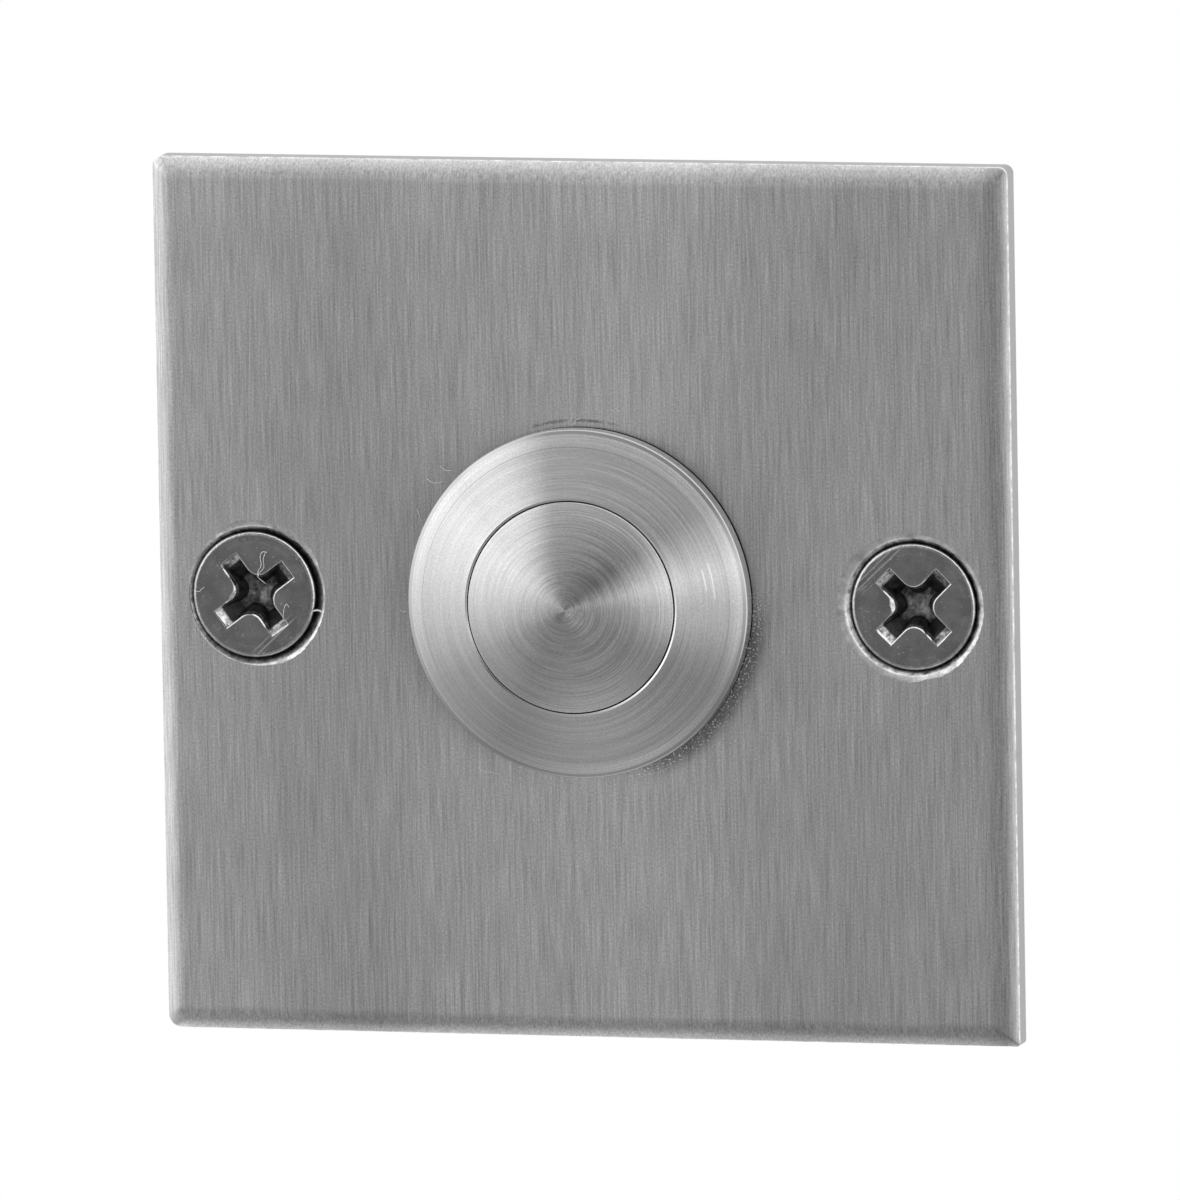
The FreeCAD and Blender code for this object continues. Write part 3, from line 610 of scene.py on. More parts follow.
def fill_between(bm, loops):
    """Flat faces between an outer loop and the holes in it, all in one plane across Y."""
    corners = [vertex for loop in loops for vertex in loop]
    flat = [[(vertex.co.x, vertex.co.z) for vertex in loop] for loop in loops]
    edges = []
    for loop in loops:
        known = len(edges)
        edges += [(known + i, known + (i + 1) % len(loop)) for i in range(len(loop))]
    points = [Vector(place) / MM for loop in flat for place in loop]
    made = geometry.delaunay_2d_cdt(points, edges, [], 0, 1e-6)
    # Points along a straight edge can give a face without area, which is left out.
    least_height = 3e-5
    for face in made[2]:
        a, b, c = (made[0][i] for i in face)
        longest = max((a - b).length, (b - c).length, (c - a).length)
        middle = (a + b + c) * MM / 3
        solid = geometry.area_tri(a, b, c) > least_height * longest
        if solid and inside(middle.x, middle.y, flat):
            bm.faces.new([corners[made[3][i][0]] for i in face])


def softened(profile, closed):
    """Profile of (radius, y, round) with each corner rounded, and its flats held straight."""
    points = [Vector((r, y)) for r, y, _ in profile]
    result = []
    count = len(points)
    for i, (_, _, size) in enumerate(profile):
        here = points[i]
        inner = closed or 0 < i < count - 1
        if not inner or size == 0:
            result.append(here)
            continue
        before = (points[i - 1] - here).normalized()
        after = (points[(i + 1) % count] - here).normalized()
        half = before.angle(after) / 2
        reach = size / math.tan(half)
        centre = here + (before + after).normalized() * (size / math.sin(half))
        start = here + before * reach
        end = here + after * reach
        result.append(start + before * size * 0.25)
        a = start - centre
        sweep = math.pi - 2 * half
        turn = 1 if a.x * (end - centre).y - a.y * (end - centre).x > 0 else -1
        for step in range(5):
            angle = turn * sweep * step / 4
            c, s = math.cos(angle), math.sin(angle)
            result.append(centre + Vector((a.x * c - a.y * s, a.x * s + a.y * c)))
        result.append(end + after * size * 0.25)
    return result


def lathe(bm, profile, closed=True):
    """Surface of revolution about the Y axis. An open profile starts and ends on the axis."""
    steps = 320
    points = softened(profile, closed)
    rings = []
    for point in points:
        if point.x < 1e-9:
            rings.append([bm.verts.new((0.0, point.y, 0.0))])
        else:
            rings.append(add_loop(bm, circle(point.x, point.y, steps)))
    pairs = list(zip(rings, rings[1:]))
    if closed:
        pairs.append((rings[-1], rings[0]))
    for first, second in pairs:
        if len(first) == 1 or len(second) == 1:
            pole, ring = (first[0], second) if len(first) == 1 else (second[0], first)
            for i in range(steps):
                bm.faces.new((pole, ring[i], ring[(i + 1) % steps]))
        else:
            bridge(bm, first, second)


def add_mesh(bm, mesh):
    """Adds the faces of a plain mesh with the first material, and removes the mesh."""
    known = len(bm.faces)
    bm.from_mesh(mesh)
    bm.faces.ensure_lookup_table()
    for face in bm.faces[known:]:
        face.material_index = 0
    bpy.data.meshes.remove(mesh)


def finish_piece(name, bm, materials, body, nodes=(), move=None, sharp=32.0):
    """Turns the mesh into an object that rides on its body and stands for its CAD nodes."""
    bmesh.ops.remove_doubles(bm, verts=bm.verts, dist=1e-8)
    bmesh.ops.recalc_face_normals(bm, faces=bm.faces)
    mesh = bpy.data.meshes.new(name)
    bm.to_mesh(mesh)
    bm.free()
    if move:
        mesh.transform(move)
    mesh.shade_smooth()
    mesh.set_sharp_from_angle(angle=math.radians(sharp))
    for material in materials:
        mesh.materials.append(material)
    piece = bpy.data.objects.new(name, mesh)
    bpy.context.scene.collection.objects.link(piece)
    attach(piece, body)
    if nodes:
        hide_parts(*nodes)
    return piece


# Inputs of the winding, by name, with their types
WINDING_INPUTS = {
    "turns": "Float",
    "radius": "Float",
    "end radius": "Float",
    "length": "Float",
    "start": "Vector",
    "ridge radius": "Float",
    "ridge sides": "Int",
    "ridge turn": "Float",
    "ridge scale": "Vector",
    "steps": "Int",
    "material": "Material",
}


def helix_tree():
    """Geometry Nodes tree for a ridge or wire that winds about the Y axis."""
    tree = bpy.data.node_groups.new("winding_ridge", "GeometryNodeTree")
    for name, kind in WINDING_INPUTS.items():
        tree.interface.new_socket(name, in_out="INPUT", socket_type="NodeSocket" + kind)
    tree.interface.new_socket("Geometry", in_out="OUTPUT", socket_type="NodeSocketGeometry")
    add = functools.partial(add_node, tree)
    given = add("NodeGroupInput").outputs
    spiral = add(
        "GeometryNodeCurveSpiral",
        {
            "Resolution": given["steps"],
            "Rotations": given["turns"],
            "Start Radius": given["radius"],
            "End Radius": given["end radius"],
            "Height": given["length"],
        },
    )
    upright = add("upright curve", {"Curve": spiral})
    outline = add("outline", {"Resolution": given["ridge sides"], "Radius": given["ridge radius"]})
    turn = add("join", 0.0, 0.0, given["ridge turn"])
    turned = add("transform", {"Geometry": outline, "Rotation": turn})
    shaped = add("transform", {"Geometry": turned, "Scale": given["ridge scale"]})
    ends = {"Curve": upright, "Profile Curve": shaped, "Fill Caps": True}
    swept = add("GeometryNodeCurveToMesh", ends)
    to_y = (math.radians(-90.0), 0.0, 0.0)
    laid = add("transform", {"Geometry": swept, "Rotation": to_y, "Translation": given["start"]})
    real = add("GeometryNodeRealizeInstances", laid)
    coated = add("GeometryNodeSetMaterial", {"Geometry": real, "Material": given["material"]})
    add("NodeGroupOutput", coated)
    return tree


def wound_mesh(tree, radius, start, length, pitch, ridge, end=None, **others):
    """Plain mesh of one winding: its inputs are set before the object is first evaluated.

    The ridge is three-sided unless told otherwise, and half a turn puts its edge outward.
    """
    sizes = {
        "turns": length / pitch,
        "radius": radius,
        "end radius": end or radius,
        "length": length,
        "start": (0.0, start, 0.0),
        "ridge radius": ridge,
        "ridge sides": 3,
        "ridge turn": math.pi,
        "ridge scale": (1.0, 1.0, 1.0),
        "material": None,
        **{name.replace("_", " "): value for name, value in others.items()},
    }
    holder = bpy.data.objects.new("winding", bpy.data.meshes.new("winding"))
    bpy.context.scene.collection.objects.link(holder)
    modifier = holder.modifiers.new("winding", "NODES")
    modifier.node_group = tree
    for socket in tree.interface.items_tree:
        if socket.in_out == "INPUT":
            modifier[socket.identifier] = sizes[socket.name]
    evaluated = holder.evaluated_get(bpy.context.evaluated_depsgraph_get())
    mesh = bpy.data.meshes.new_from_object(evaluated)
    holder.modifiers.clear()
    bpy.data.objects.remove(holder)
    return mesh


def add_fibre(bm, path, thickness, index):
    """Thin thread along a path whose corners are cut twice to make it run smoothly."""
    for _ in range(2):
        cut = [path[0]]
        for a, b in zip(path, path[1:]):
            cut += [a.lerp(b, 0.25), a.lerp(b, 0.75)]
        path = cut + [path[-1]]
    loops = []
    for i, here in enumerate(path):
        along = (path[min(i + 1, len(path) - 1)] - path[max(i - 1, 0)]).normalized()
        side = along.cross(Vector((0.0, 1.0, 0.0))).normalized()
        up = side.cross(along)
        turns = [2 * math.pi * k / 6 for k in range(6)]
        ring = [here + (side * math.cos(t) + up * math.sin(t)) * thickness for t in turns]
        loops.append(add_loop(bm, ring))
    for first, second in zip(loops, loops[1:]):
        bridge(bm, first, second, index)
    for loop in (loops[0], loops[-1]):
        bm.faces.new(loop).material_index = index


# Face plate


# How much of the corner radius is left at the top right, top left, bottom left and bottom right
CORNER_SHARES = (0.7, 0.85, 1.1, 0.3)


def square_outline(half, nominal, side_steps=160, corner_steps=10):
    """Points of a square with four rounded corners, and the outward direction at each."""
    result = []
    for quarter in range(4):
        turn = Matrix.Rotation(quarter * math.pi / 2, 2)
        before, corner = (nominal * CORNER_SHARES[i] for i in (quarter - 1, quarter))
        for i in range(side_steps):
            z = -(half - before) + (2 * half - before - corner) * i / side_steps
            result.append((turn @ Vector((half, z)), turn @ Vector((1.0, 0.0))))
        for i in range(corner_steps):
            angle = math.pi / 2 * i / corner_steps
            out = Vector((math.cos(angle), math.sin(angle)))
            result.append((turn @ (Vector((half - corner,) * 2) + corner * out), turn @ out))
    return result


# Nicks in the front edge, as (x, z, width, depth) in millimetres
EDGE_NICKS = (
    (25.0, -2.2, 0.16, 0.10),
    (25.0, -3.1, 0.10, 0.08),
    (25.0, -8.5, 0.12, 0.06),
    (-25.0, -21.0, 0.12, 0.05),
    (-25.0, 7.0, 0.09, 0.03),
    (4.0, -25.0, 0.09, 0.04),
)


def edge_ring(half, corner, inset, y, wear, nicked=False):
    """Ring of the plate's edge. Its corners get sharper further in, where the falls meet."""
    ring = []
    for point, out in square_outline(half - inset, corner * (1.0 - inset / (2.2 * MM))):
        depth = inset * wear * noise.noise(Vector((point.x, point.y, 0.0)) * 220.0)
        if nicked:
            for x, z, width, cut in EDGE_NICKS:
                away = (point - Vector((x * MM, z * MM))).length / (width * MM)
                depth += cut * MM * math.exp(-(away**2))
        ring.append(Vector((point.x - out.x * depth, y, point.y - out.y * depth)))
    return ring


def front_edge_rings(settings, half, front):
    """Rings of the worn fall of the front towards its edge, and of the crisp round after it."""
    width, fall, soft = settings.fall_width, settings.fall, settings.edge_round
    steep = math.atan(2 * fall / width)
    end = soft * (1 - math.sin(steep))
    rings = [edge_ring(half, settings.corner, width * 1.04, front, settings.wear)]
    for step in range(13):
        share = step / 12
        inset = width + (end - width) * share
        rings.append(edge_ring(half, settings.corner, inset, front + fall * share**2, settings.wear))
    crisp = [rings[-1]]
    for step in range(1, 6):
        angle = steep + (math.pi / 2 - steep) * step / 5
        inset = soft * (1 - math.sin(angle))
        y = front + fall + soft * (math.cos(steep) - math.cos(angle))
        crisp.append(edge_ring(half, settings.corner, inset, y, 0.0, nicked=True))
    crisp.append(edge_ring(half, settings.corner, 0.0, front + fall + soft * 2.0, 0.0))
    return rings, crisp


# Lint round the button: points right, out and up from the middle of the plate's front, and the
# half width, in millimetres
PLATE_FIBRES = (
    (((-8.25, 0.02, 7.62), (-8.05, 0.05, 7.38), (-7.75, 0.05, 7.30), (-7.55, 0.02, 7.36)), 0.016),
    (((-9.05, 0.02, 6.85), (-8.75, 0.05, 6.62), (-8.35, 0.05, 6.60), (-8.10, 0.02, 6.70)), 0.016),
    (((-0.45, 0.02, 9.98), (-0.20, 0.08, 10.18), (-0.38, 0.08, 10.30), (0.02, 0.02, 10.42)), 0.02),
    (((1.93, 0.02, 10.86), (2.13, 0.05, 11.08), (2.30, 0.05, 10.84), (2.53, 0.02, 11.0)), 0.018),
    (((-6.35, 0.02, -9.62), (-6.00, 0.05, -9.84), (-5.60, 0.05, -9.86), (-5.10, 0.02, -9.98)), 0.014),
    (((-9.65, 0.02, 5.10), (-9.55, 0.04, 4.85), (-9.48, 0.02, 4.62)), 0.018),
    (((-10.75, 0.02, -0.70), (-10.55, 0.04, -0.82), (-10.40, 0.02, -0.74)), 0.018),
    (((-9.72, 0.02, -4.45), (-9.62, 0.04, -4.75), (-9.50, 0.02, -4.92)), 0.016),
)


# Worn lip of each screw hole: how wide it is at a few bearings in degrees, in shares of the
# lip setting
LEFT_LIP = ((0, 0.28), (60, 0.7), (100, 0.75), (140, 0.25), (180, 0.06), (250, 0.12), (310, 0.42))
RIGHT_LIP = ((0, 0.42), (60, 0.5), (100, 0.75), (150, 1.1), (195, 1.2), (235, 0.8), (280, 0.65))


def lip_width(worn, bearing):
    """Smooth step between the bearings at which the lip's width is known."""
    known = [*worn, (360 + worn[0][0], worn[0][1])]
    for (start, low), (end, high) in zip(known, known[1:]):
        if bearing <= end:
            share = (1 - math.cos(math.pi * (bearing - start) / (end - start))) / 2
            return low + (high - low) * share


def screw_hole_rings(x, radius, lip, worn):
    """Countersunk hole from the front lip back. The lip is worn wider on one side."""
    front = PLATE_LOW.y
    rings = []
    for grow, y, share in (
        (0.02, 0.0, 1.05),
        (0.02, 0.0, 1.0),
        (0.01, 0.03, 0.8),
        (0.0, 0.08, 0.35),
        (0.0, 0.14, 0.0),
        (-0.25, 0.4, 0.0),
        (-0.48, 0.62, 0.0),
        (-1.62, 1.77, 0.0),
        (-1.63, 1.80, 0.0),
        (-1.63, 2.0, 0.0),
    ):
        ring = []
        for i in range(200):
            turn = 2 * math.pi * i / 200
            out = Vector((math.cos(turn), 0.0, math.sin(turn)))
            rough = 1.0 + 0.3 * noise.noise(out * 4.0 + Vector((x * 90.0, 0.0, 0.0)))
            rough += 0.25 * noise.noise(out * 21.0)
            wide = lip * share * lip_width(worn, 360 * i / 200) * rough
            r = (radius + grow) * MM + wide
            ring.append(Vector((x, front + y * MM, 0.0)) + out * r)
        rings.append(ring)
    return rings


def build_face_plate(settings):
    bm = bmesh.new()
    half = PLATE_HIGH.x
    front, back = PLATE_LOW.y, PLATE_HIGH.y
    worn, crisp = front_edge_rings(settings, half, front)
    front_loop, _ = skin(bm, worn)
    skin(bm, crisp, index=2)
    side = [crisp[-1]]
    for inset, y in ((0.0, 0.12), (0.0, 0.1), (0.1, 0.0), (0.13, 0.0)):
        side.append(edge_ring(half, settings.corner, inset * MM, back - y * MM, 0.0))
    _, back_loop = skin(bm, side, index=3)
    front_loops, back_loops = [front_loop], [back_loop]
    for x, radius, worn in ((-19.25 * MM, 3.93, LEFT_LIP), (19.25 * MM, 3.90, RIGHT_LIP)):
        hole = screw_hole_rings(x, radius, settings.lip, worn)
        first, _ = skin(bm, hole[:5], index=2)
        _, last = skin(bm, hole[4:], index=1)
        front_loops.append(first)
        back_loops.append(last)
    bore, bore_back = skin(bm, [circle(8.1 * MM, front, 160), circle(8.1 * MM, back - 0.3 * MM, 160)])
    spot, spot_front = skin(bm, [circle(11.9 * MM, back, 160), circle(11.9 * MM, back - 0.3 * MM, 160)])
    front_loops.append(bore)
    back_loops.append(spot)
    fill_between(bm, front_loops)
    fill_between(bm, back_loops)
    bridge(bm, bore_back, spot_front)
    for points, thickness in PLATE_FIBRES:
        add_fibre(bm, [Vector((x * MM, front - y * MM, z * MM)) for x, y, z in points], thickness * MM, 4)
    materials = [
        brushed_plate_finish(settings),
        countersink_finish(),
        countersink_lip_finish(),
        # Sheared side of the sheet: plain grey with a fine even grain, never brushed.
        plain_metal("stainless_edge_sheared", "#A8A8A8", 0.4, 0.07, 0.10, 0.003),
        fibre_finish(),
    ]
    finish_piece("face_plate_brushed", bm, materials, "mounted", ["face_plate"])


# Button


def build_button_housing(settings, tree):
    bm = bmesh.new()
    seat, rim, mouth = -2.3 * MM, -3.2 * MM, HOUSING_LOW.y
    outer, bore, barrel_bore = HOUSING_HIGH.x, 6.08 * MM, 6.8 * MM
    end = HOUSING_HIGH.y
    barrel = 8.0 * MM
    core = barrel - settings.thread_depth
    chamfer = 0.12 * MM
    slope = (rim - mouth) / (outer - bore - chamfer)
    zone = outer - settings.zone
    soft = settings.mouth_round
    lathe(
        bm,
        [
            (bore, mouth + 0.035 * MM, soft),
            (bore + chamfer, mouth, soft),
            (zone, mouth + slope * (zone - bore - chamfer) - 0.03 * MM, 0.25 * MM),
            (outer, rim, settings.rim_round),
            (outer, seat, 0.03 * MM),
            (barrel, seat, 0.0),
            (barrel, 0.9 * MM, 0.0),
            (core, 1.2 * MM, 0.0),
            (core, end - 0.45 * MM, 0.1 * MM),
            (core - 0.4 * MM, end, 0.05 * MM),
            (barrel_bore, end, 0.03 * MM),
            (barrel_bore, 16.15 * MM, 0.0),
            (7.05 * MM, 16.15 * MM, 0.0),
            (7.05 * MM, 15.45 * MM, 0.0),
            (barrel_bore, 15.45 * MM, 0.0),
            (barrel_bore, -1.6 * MM, 0.0),
            (bore, -1.6 * MM, 0.0),
        ],
    )
    pitch = settings.thread_pitch
    flank = pitch / math.sqrt(3.0)
    start = 1.1 * MM
    long = end - 0.9 * MM - start
    thread = wound_mesh(tree, barrel - flank, start, long, pitch, flank, steps=96)
    add_mesh(bm, thread)
    scratches = ((8.25 * MM, 11.0, 5.0), (7.85 * MM, 12.0, 2.0))
    # Painted glint at the bore's mouth; the rim is painted darker.
    polished = ((bore + 0.02 * MM, 1.25), (outer - 0.13 * MM, 0.78))
    finish = turned_finish("stainless_turned_flange", settings, 3.0, 0.17, polished, zone, scratches)
    finish_piece(
        "button_housing_turned", bm, [finish], "mounted", ["button_housing"]
    )


def build_push_cap(settings):
    bm = bmesh.new()
    tip, edge = CAP_LOW.y, -4.75 * MM
    radius = 6.0 * MM
    rise = edge - tip
    sphere = (radius**2 + rise**2) / (2 * rise)
    dome = []
    for step in range(25):
        angle = math.asin(radius / sphere) * step / 24
        dome.append((sphere * math.sin(angle), tip + sphere * (1 - math.cos(angle)), 0.0))
    last = dome.pop()
    dome.append((last[0], last[1], 0.05 * MM))
    lathe(
        bm,
        dome
        + [
            (radius, -3.85 * MM, 0.03 * MM),
            (5.2 * MM, -3.85 * MM, 0.0),
            (5.2 * MM, -2.95 * MM, 0.0),
            (radius, -2.95 * MM, 0.03 * MM),
            (radius, -1.55 * MM, 0.0),
            (6.6 * MM, -1.55 * MM, 0.05 * MM),
            (6.6 * MM, -0.45 * MM, 0.05 * MM),
            (5.0 * MM, -0.45 * MM, 0.0),
            (5.0 * MM, -2.55 * MM, 0.0),
            (2.0 * MM, -2.55 * MM, 0.0),
            (2.0 * MM, CAP_HIGH.y, 0.1 * MM),
            (0.0, CAP_HIGH.y, 0.0),
        ],
        closed=False,
    )
    finish = turned_finish("stainless_turned_dome", settings, 11.0, 0.22)
    finish_piece("push_cap_turned", bm, [finish], "button", ["push_cap"])


# Fixing screws


def cross_points(span, width, corner, y):
    """Cross outline with rounded inner corners. Every size gives the same number of points."""
    points = []
    start = width + corner
    for quarter in range(4):
        turn = Matrix.Rotation(-quarter * math.pi / 2, 2)
        local = []
        for i in range(6):
            local.append((start + (span - start) * i / 6, width))
        for i in range(6):
            local.append((span, width - 2 * width * i / 6))
        for i in range(6):
            local.append((span - (span - start) * i / 6, -width))
        for i in range(10):
            angle = math.pi / 2 * i / 10
            local.append((start - corner * math.sin(angle), -start + corner * math.cos(angle)))
        points += [turn @ Vector(p) for p in local]
    return [Vector((p.x, y, p.y)) for p in points]


# Cross recess from its lip down: depth, half span, half width and inner corner in millimetres.
# The first row lies in the head's face, where its points meet the flat round them.
RECESS = (
    (-0.1, 2.56, 0.65, 0.72),
    (0.0, 2.55, 0.64, 0.73),
    (0.03, 2.49, 0.58, 0.79),
    (0.13, 2.43, 0.52, 0.85),
    (0.31, 2.12, 0.48, 0.84),
    (0.8, 1.60, 0.37, 0.78),
    (1.25, 1.20, 0.25, 0.66),
)

# Lint on the left screw: points right, out and up from the middle of the head, and half widths,
# in millimetres
LEFT_FIBRES = (
    (((0.30, 0.02, 1.08), (0.24, 0.05, 1.32), (0.53, 0.08, 1.68), (0.41, 0.08, 2.15),
      (0.53, 0.06, 2.50), (0.83, 0.03, 2.44)), 0.022),
    (((0.71, 0.03, 2.38), (0.59, 0.07, 2.03), (0.68, 0.07, 1.56), (0.35, 0.04, 1.26),
      (0.20, 0.04, 1.05), (0.53, 0.04, 0.79), (0.71, 0.02, 0.65)), 0.018),
    (((1.70, 0.03, -1.30), (1.79, 0.05, -0.68), (1.95, 0.05, -0.45), (2.05, 0.03, -0.68)), 0.018),
    (((-3.4, 0.03, 0.14), (-3.2, 0.05, 0.10), (-3.05, 0.05, 0.30), (-2.9, 0.03, 0.38)), 0.016),
    (((3.52, 0.03, -0.86), (3.8, 0.03, -0.80), (4.1, 0.0, -0.96)), 0.05),
)


def build_mounting_screw(side, x, turn, worn, settings, tree, finishes, fibres=()):
    bm = bmesh.new()
    node = "mounting_screw_" + side
    low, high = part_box(node)
    top, tip = low.y, high.y
    head = 3.6 * MM
    soft = settings.rim_round
    rings = [circle(head - soft * 1.3, top, 160), circle(head - soft, top, 160)]
    for step in range(1, 6):
        angle = math.pi / 2 * step / 5
        rings.append(
            circle(head - soft * (1 - math.sin(angle)), top + soft * (1 - math.cos(angle)), 160)
        )
    core = settings.core
    profile = (
        (3.6 * MM, top + 0.12 * MM),
        (3.58 * MM, top + 0.14 * MM),
        (core + 0.22 * MM, top + 2.25 * MM),
        (core + 0.2 * MM, top + 2.29 * MM),
        (core + 0.2 * MM, top + 2.68 * MM),
        (core, top + 2.9 * MM),
        (core, tip - 4.6 * MM),
        (core * 0.72, tip - 2.9 * MM),
        (core * 0.2, tip - 0.4 * MM),
        (core * 0.04, tip),
    )
    rim_count = len(rings)
    rings += [circle(radius, y, 160) for radius, y in profile]
    front_loop, tip_loop = skin(bm, rings)
    bm.faces.ensure_lookup_table()
    for face in bm.faces[: 160 * rim_count]:
        face.material_index = 2
    bm.faces.new(tip_loop)
    back = Matrix.Rotation(math.radians(-turn), 3, "Y")
    loops = []
    for depth, span, width, corner in RECESS:
        points = cross_points(span * MM, width * MM, corner * MM, top + max(0.0, depth) * MM)
        for point in points:
            rough = noise.noise(point * 2500.0 + Vector((x * 900.0, 0.0, 0.0)))
            point += Vector((point.x, 0.0, point.z)).normalized() * 0.02 * MM * rough
            if depth < 0.05:
                away = (point - Vector((0.0, point.y, 0.0)) - back @ worn).length
                outward = 0.16 * MM * math.exp(-((away / (0.28 * MM)) ** 2))
                point += Vector((point.x, 0.0, point.z)).normalized() * outward
        loops.append(add_loop(bm, points))
    mouth = loops[0]
    for step, (first, second) in enumerate(zip(loops, loops[1:])):
        bridge(bm, first, second, 2 if step < 3 else 1)
    dish = loops[-1]
    for depth, radius in ((1.3, 0.5), (1.38, 0.3), (1.42, 0.1)):
        ring = []
        for vertex in dish:
            out = Vector((vertex.co.x, 0.0, vertex.co.z)).normalized()
            ring.append(out * radius * MM + Vector((0.0, top + depth * MM, 0.0)))
        inner = add_loop(bm, ring)
        bridge(bm, dish, inner, 1)
        dish = inner
    bm.faces.new(dish).material_index = 1
    fill_between(bm, [front_loop, mouth])
    start = top + 2.75 * MM
    taper = 4.1 * MM
    long = tip - 0.7 * MM - taper - start
    radius = core + 0.21 * MM
    for begin, run, ridge, end in ((start, long, 0.53, radius), (start + long, taper, 0.45, 0.3 * MM)):
        wind = dict(end=end, ridge_scale=(1.0, 0.75, 1.0), steps=48)
        add_mesh(bm, wound_mesh(tree, radius, begin, run, settings.pitch, ridge * MM, **wind))
    for points, thickness in fibres:
        path = [back @ Vector((px * MM, top - py * MM, pz * MM)) for px, py, pz in points]
        add_fibre(bm, path, thickness * MM, 3)
    move = Matrix.Translation((x, 0.0, 0.0)) @ Matrix.Rotation(math.radians(turn), 4, "Y")
    finish_piece(node + "_cross", bm, finishes, "mounted", [node], move)


def build_return_spring(tree):
    """Spring of round drawn wire."""
    wire = 0.3 * MM
    bm = bmesh.new()
    low = SPRING_LOW.y + wire
    long = SPRING_HIGH.y - SPRING_LOW.y - 2 * wire
    turns = 3.25
    round_wire = dict(ridge_sides=16, ridge_turn=0.0, steps=64)
    add_mesh(bm, wound_mesh(tree, 3.75 * MM, low, long, long / turns, wire, **round_wire))
    # Drawn spring wire: darker steel with a fine even sheen along the wire.
    finish = plain_metal("spring_wire_drawn", "#A9A8A5", 0.3, 0.08, 0.05, 0.001)
    spring = finish_piece(
        "return_spring_wire", bm, [finish], "mounted", ["return_spring"], sharp=60.0
    )
    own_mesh(spring)


# Stage


# Light round the mirror direction, as (degrees from the right, level): far from it and near it
OUTER_LIGHT = (
    (-180, 1.0), (-150, 0.50), (-120, 0.34), (-60, 0.34), (-30, 0.32), (-12, 0.50), (2, 0.74),
    (14, 1.18), (23, 0.80), (36, 0.26), (75, 0.41), (100, 0.52), (116, 0.70), (131, 1.20),
    (145, 1.38), (165, 1.25), (180, 1.0),
)
INNER_LIGHT = (
    (-180, 0.92), (-150, 0.46), (-120, 0.29), (-60, 0.23), (-30, 0.22), (0, 0.22), (14, 0.50),
    (26, 0.20), (40, 0.03), (75, 0.25), (100, 0.42), (116, 0.66), (131, 1.18), (145, 1.38),
    (165, 1.15), (180, 0.92),
)


def studio_world():
    """Soft studio light, laid out round the direction in which the front mirrors the camera.

    A large soft panel stands above and left with a crisp right edge, a narrow strip to the
    right, and the room between them is dim. Behind the object everything is white.
    """
    world = bpy.data.worlds.new("soft_studio")
    bpy.context.scene.world = world
    world.use_nodes = True
    world.node_tree.nodes.clear()
    add = functools.partial(add_node, world.node_tree)
    x, y, z = add("split", add("ShaderNodeTexCoord").outputs["Generated"]).outputs
    u = add("minus", x, MIRROR_X)
    w = add("minus", z, MIRROR_Z)
    turn = add("range", add("bearing", w, u), -math.pi, math.pi)
    outer, inner = (
        add("ramp", turn, stops=[(degrees / 360 + 0.5, level) for degrees, level in stops])
        for stops in (OUTER_LIGHT, INNER_LIGHT)
    )
    reach = add("root", add("plus", add("times", u, u), add("times", w, w)))
    middle = 0.20
    front = add("mix", add("soft range", reach, 0.45, 0.85), None, inner, outer)
    front = add("mix", add("soft range", reach, 0.0, 0.4), None, middle, front)
    # Bright ring that the rims of the front catch, from the left round to the right
    above = add("soft range", w, -0.45, -0.1)
    ring = add("times", add("soft range", reach, 0.88, 1.02), above)
    front = add("mix", ring, None, front, 1.35)
    # White table, which lights what faces down
    front = add("mix", add("soft range", z, -0.76, -0.94), None, front, 0.78)
    level = add("mix", add("soft range", y, -0.1, 0.2), None, front, 0.95)
    # The camera sees white, and so do mirrored rays that go behind the object.
    rays = add("ShaderNodeLightPath").outputs
    mirrored = add("most", rays["Is Glossy Ray"], rays["Is Transmission Ray"])
    behind = add("times", mirrored, add("range", y, 0.1, 0.3))
    white = add("most", rays["Is Camera Ray"], behind)
    strength = add("mix", white, None, level, 1.0)
    background = add("ShaderNodeBackground", (1.0, 1.0, 1.0, 1.0), strength)
    add("ShaderNodeOutputWorld", background)


def floor_finish(settings):
    """Matt paper, pale under the object, where it takes the shadow, and fading out around it."""
    material, add, place = new_material("paper_sweep_matt")
    away = add("length", add("scale", place, (1.0, 1.0, 0.0))).outputs["Value"]
    tone = add("range", pattern(add, place, 1.4286, 3.0, 0.6), 0.3, 0.7, 0.985, 1.015)
    colour = add("scale", settings.floor, tone)
    paper = add("surface", {"Base Color": colour, "Roughness": 0.9})
    clear = add("ShaderNodeBsdfTransparent")
    fade = add("soft range", away, 0.07, 0.15)
    return finish_material(material, add("ShaderNodeMixShader", fade, paper, clear))


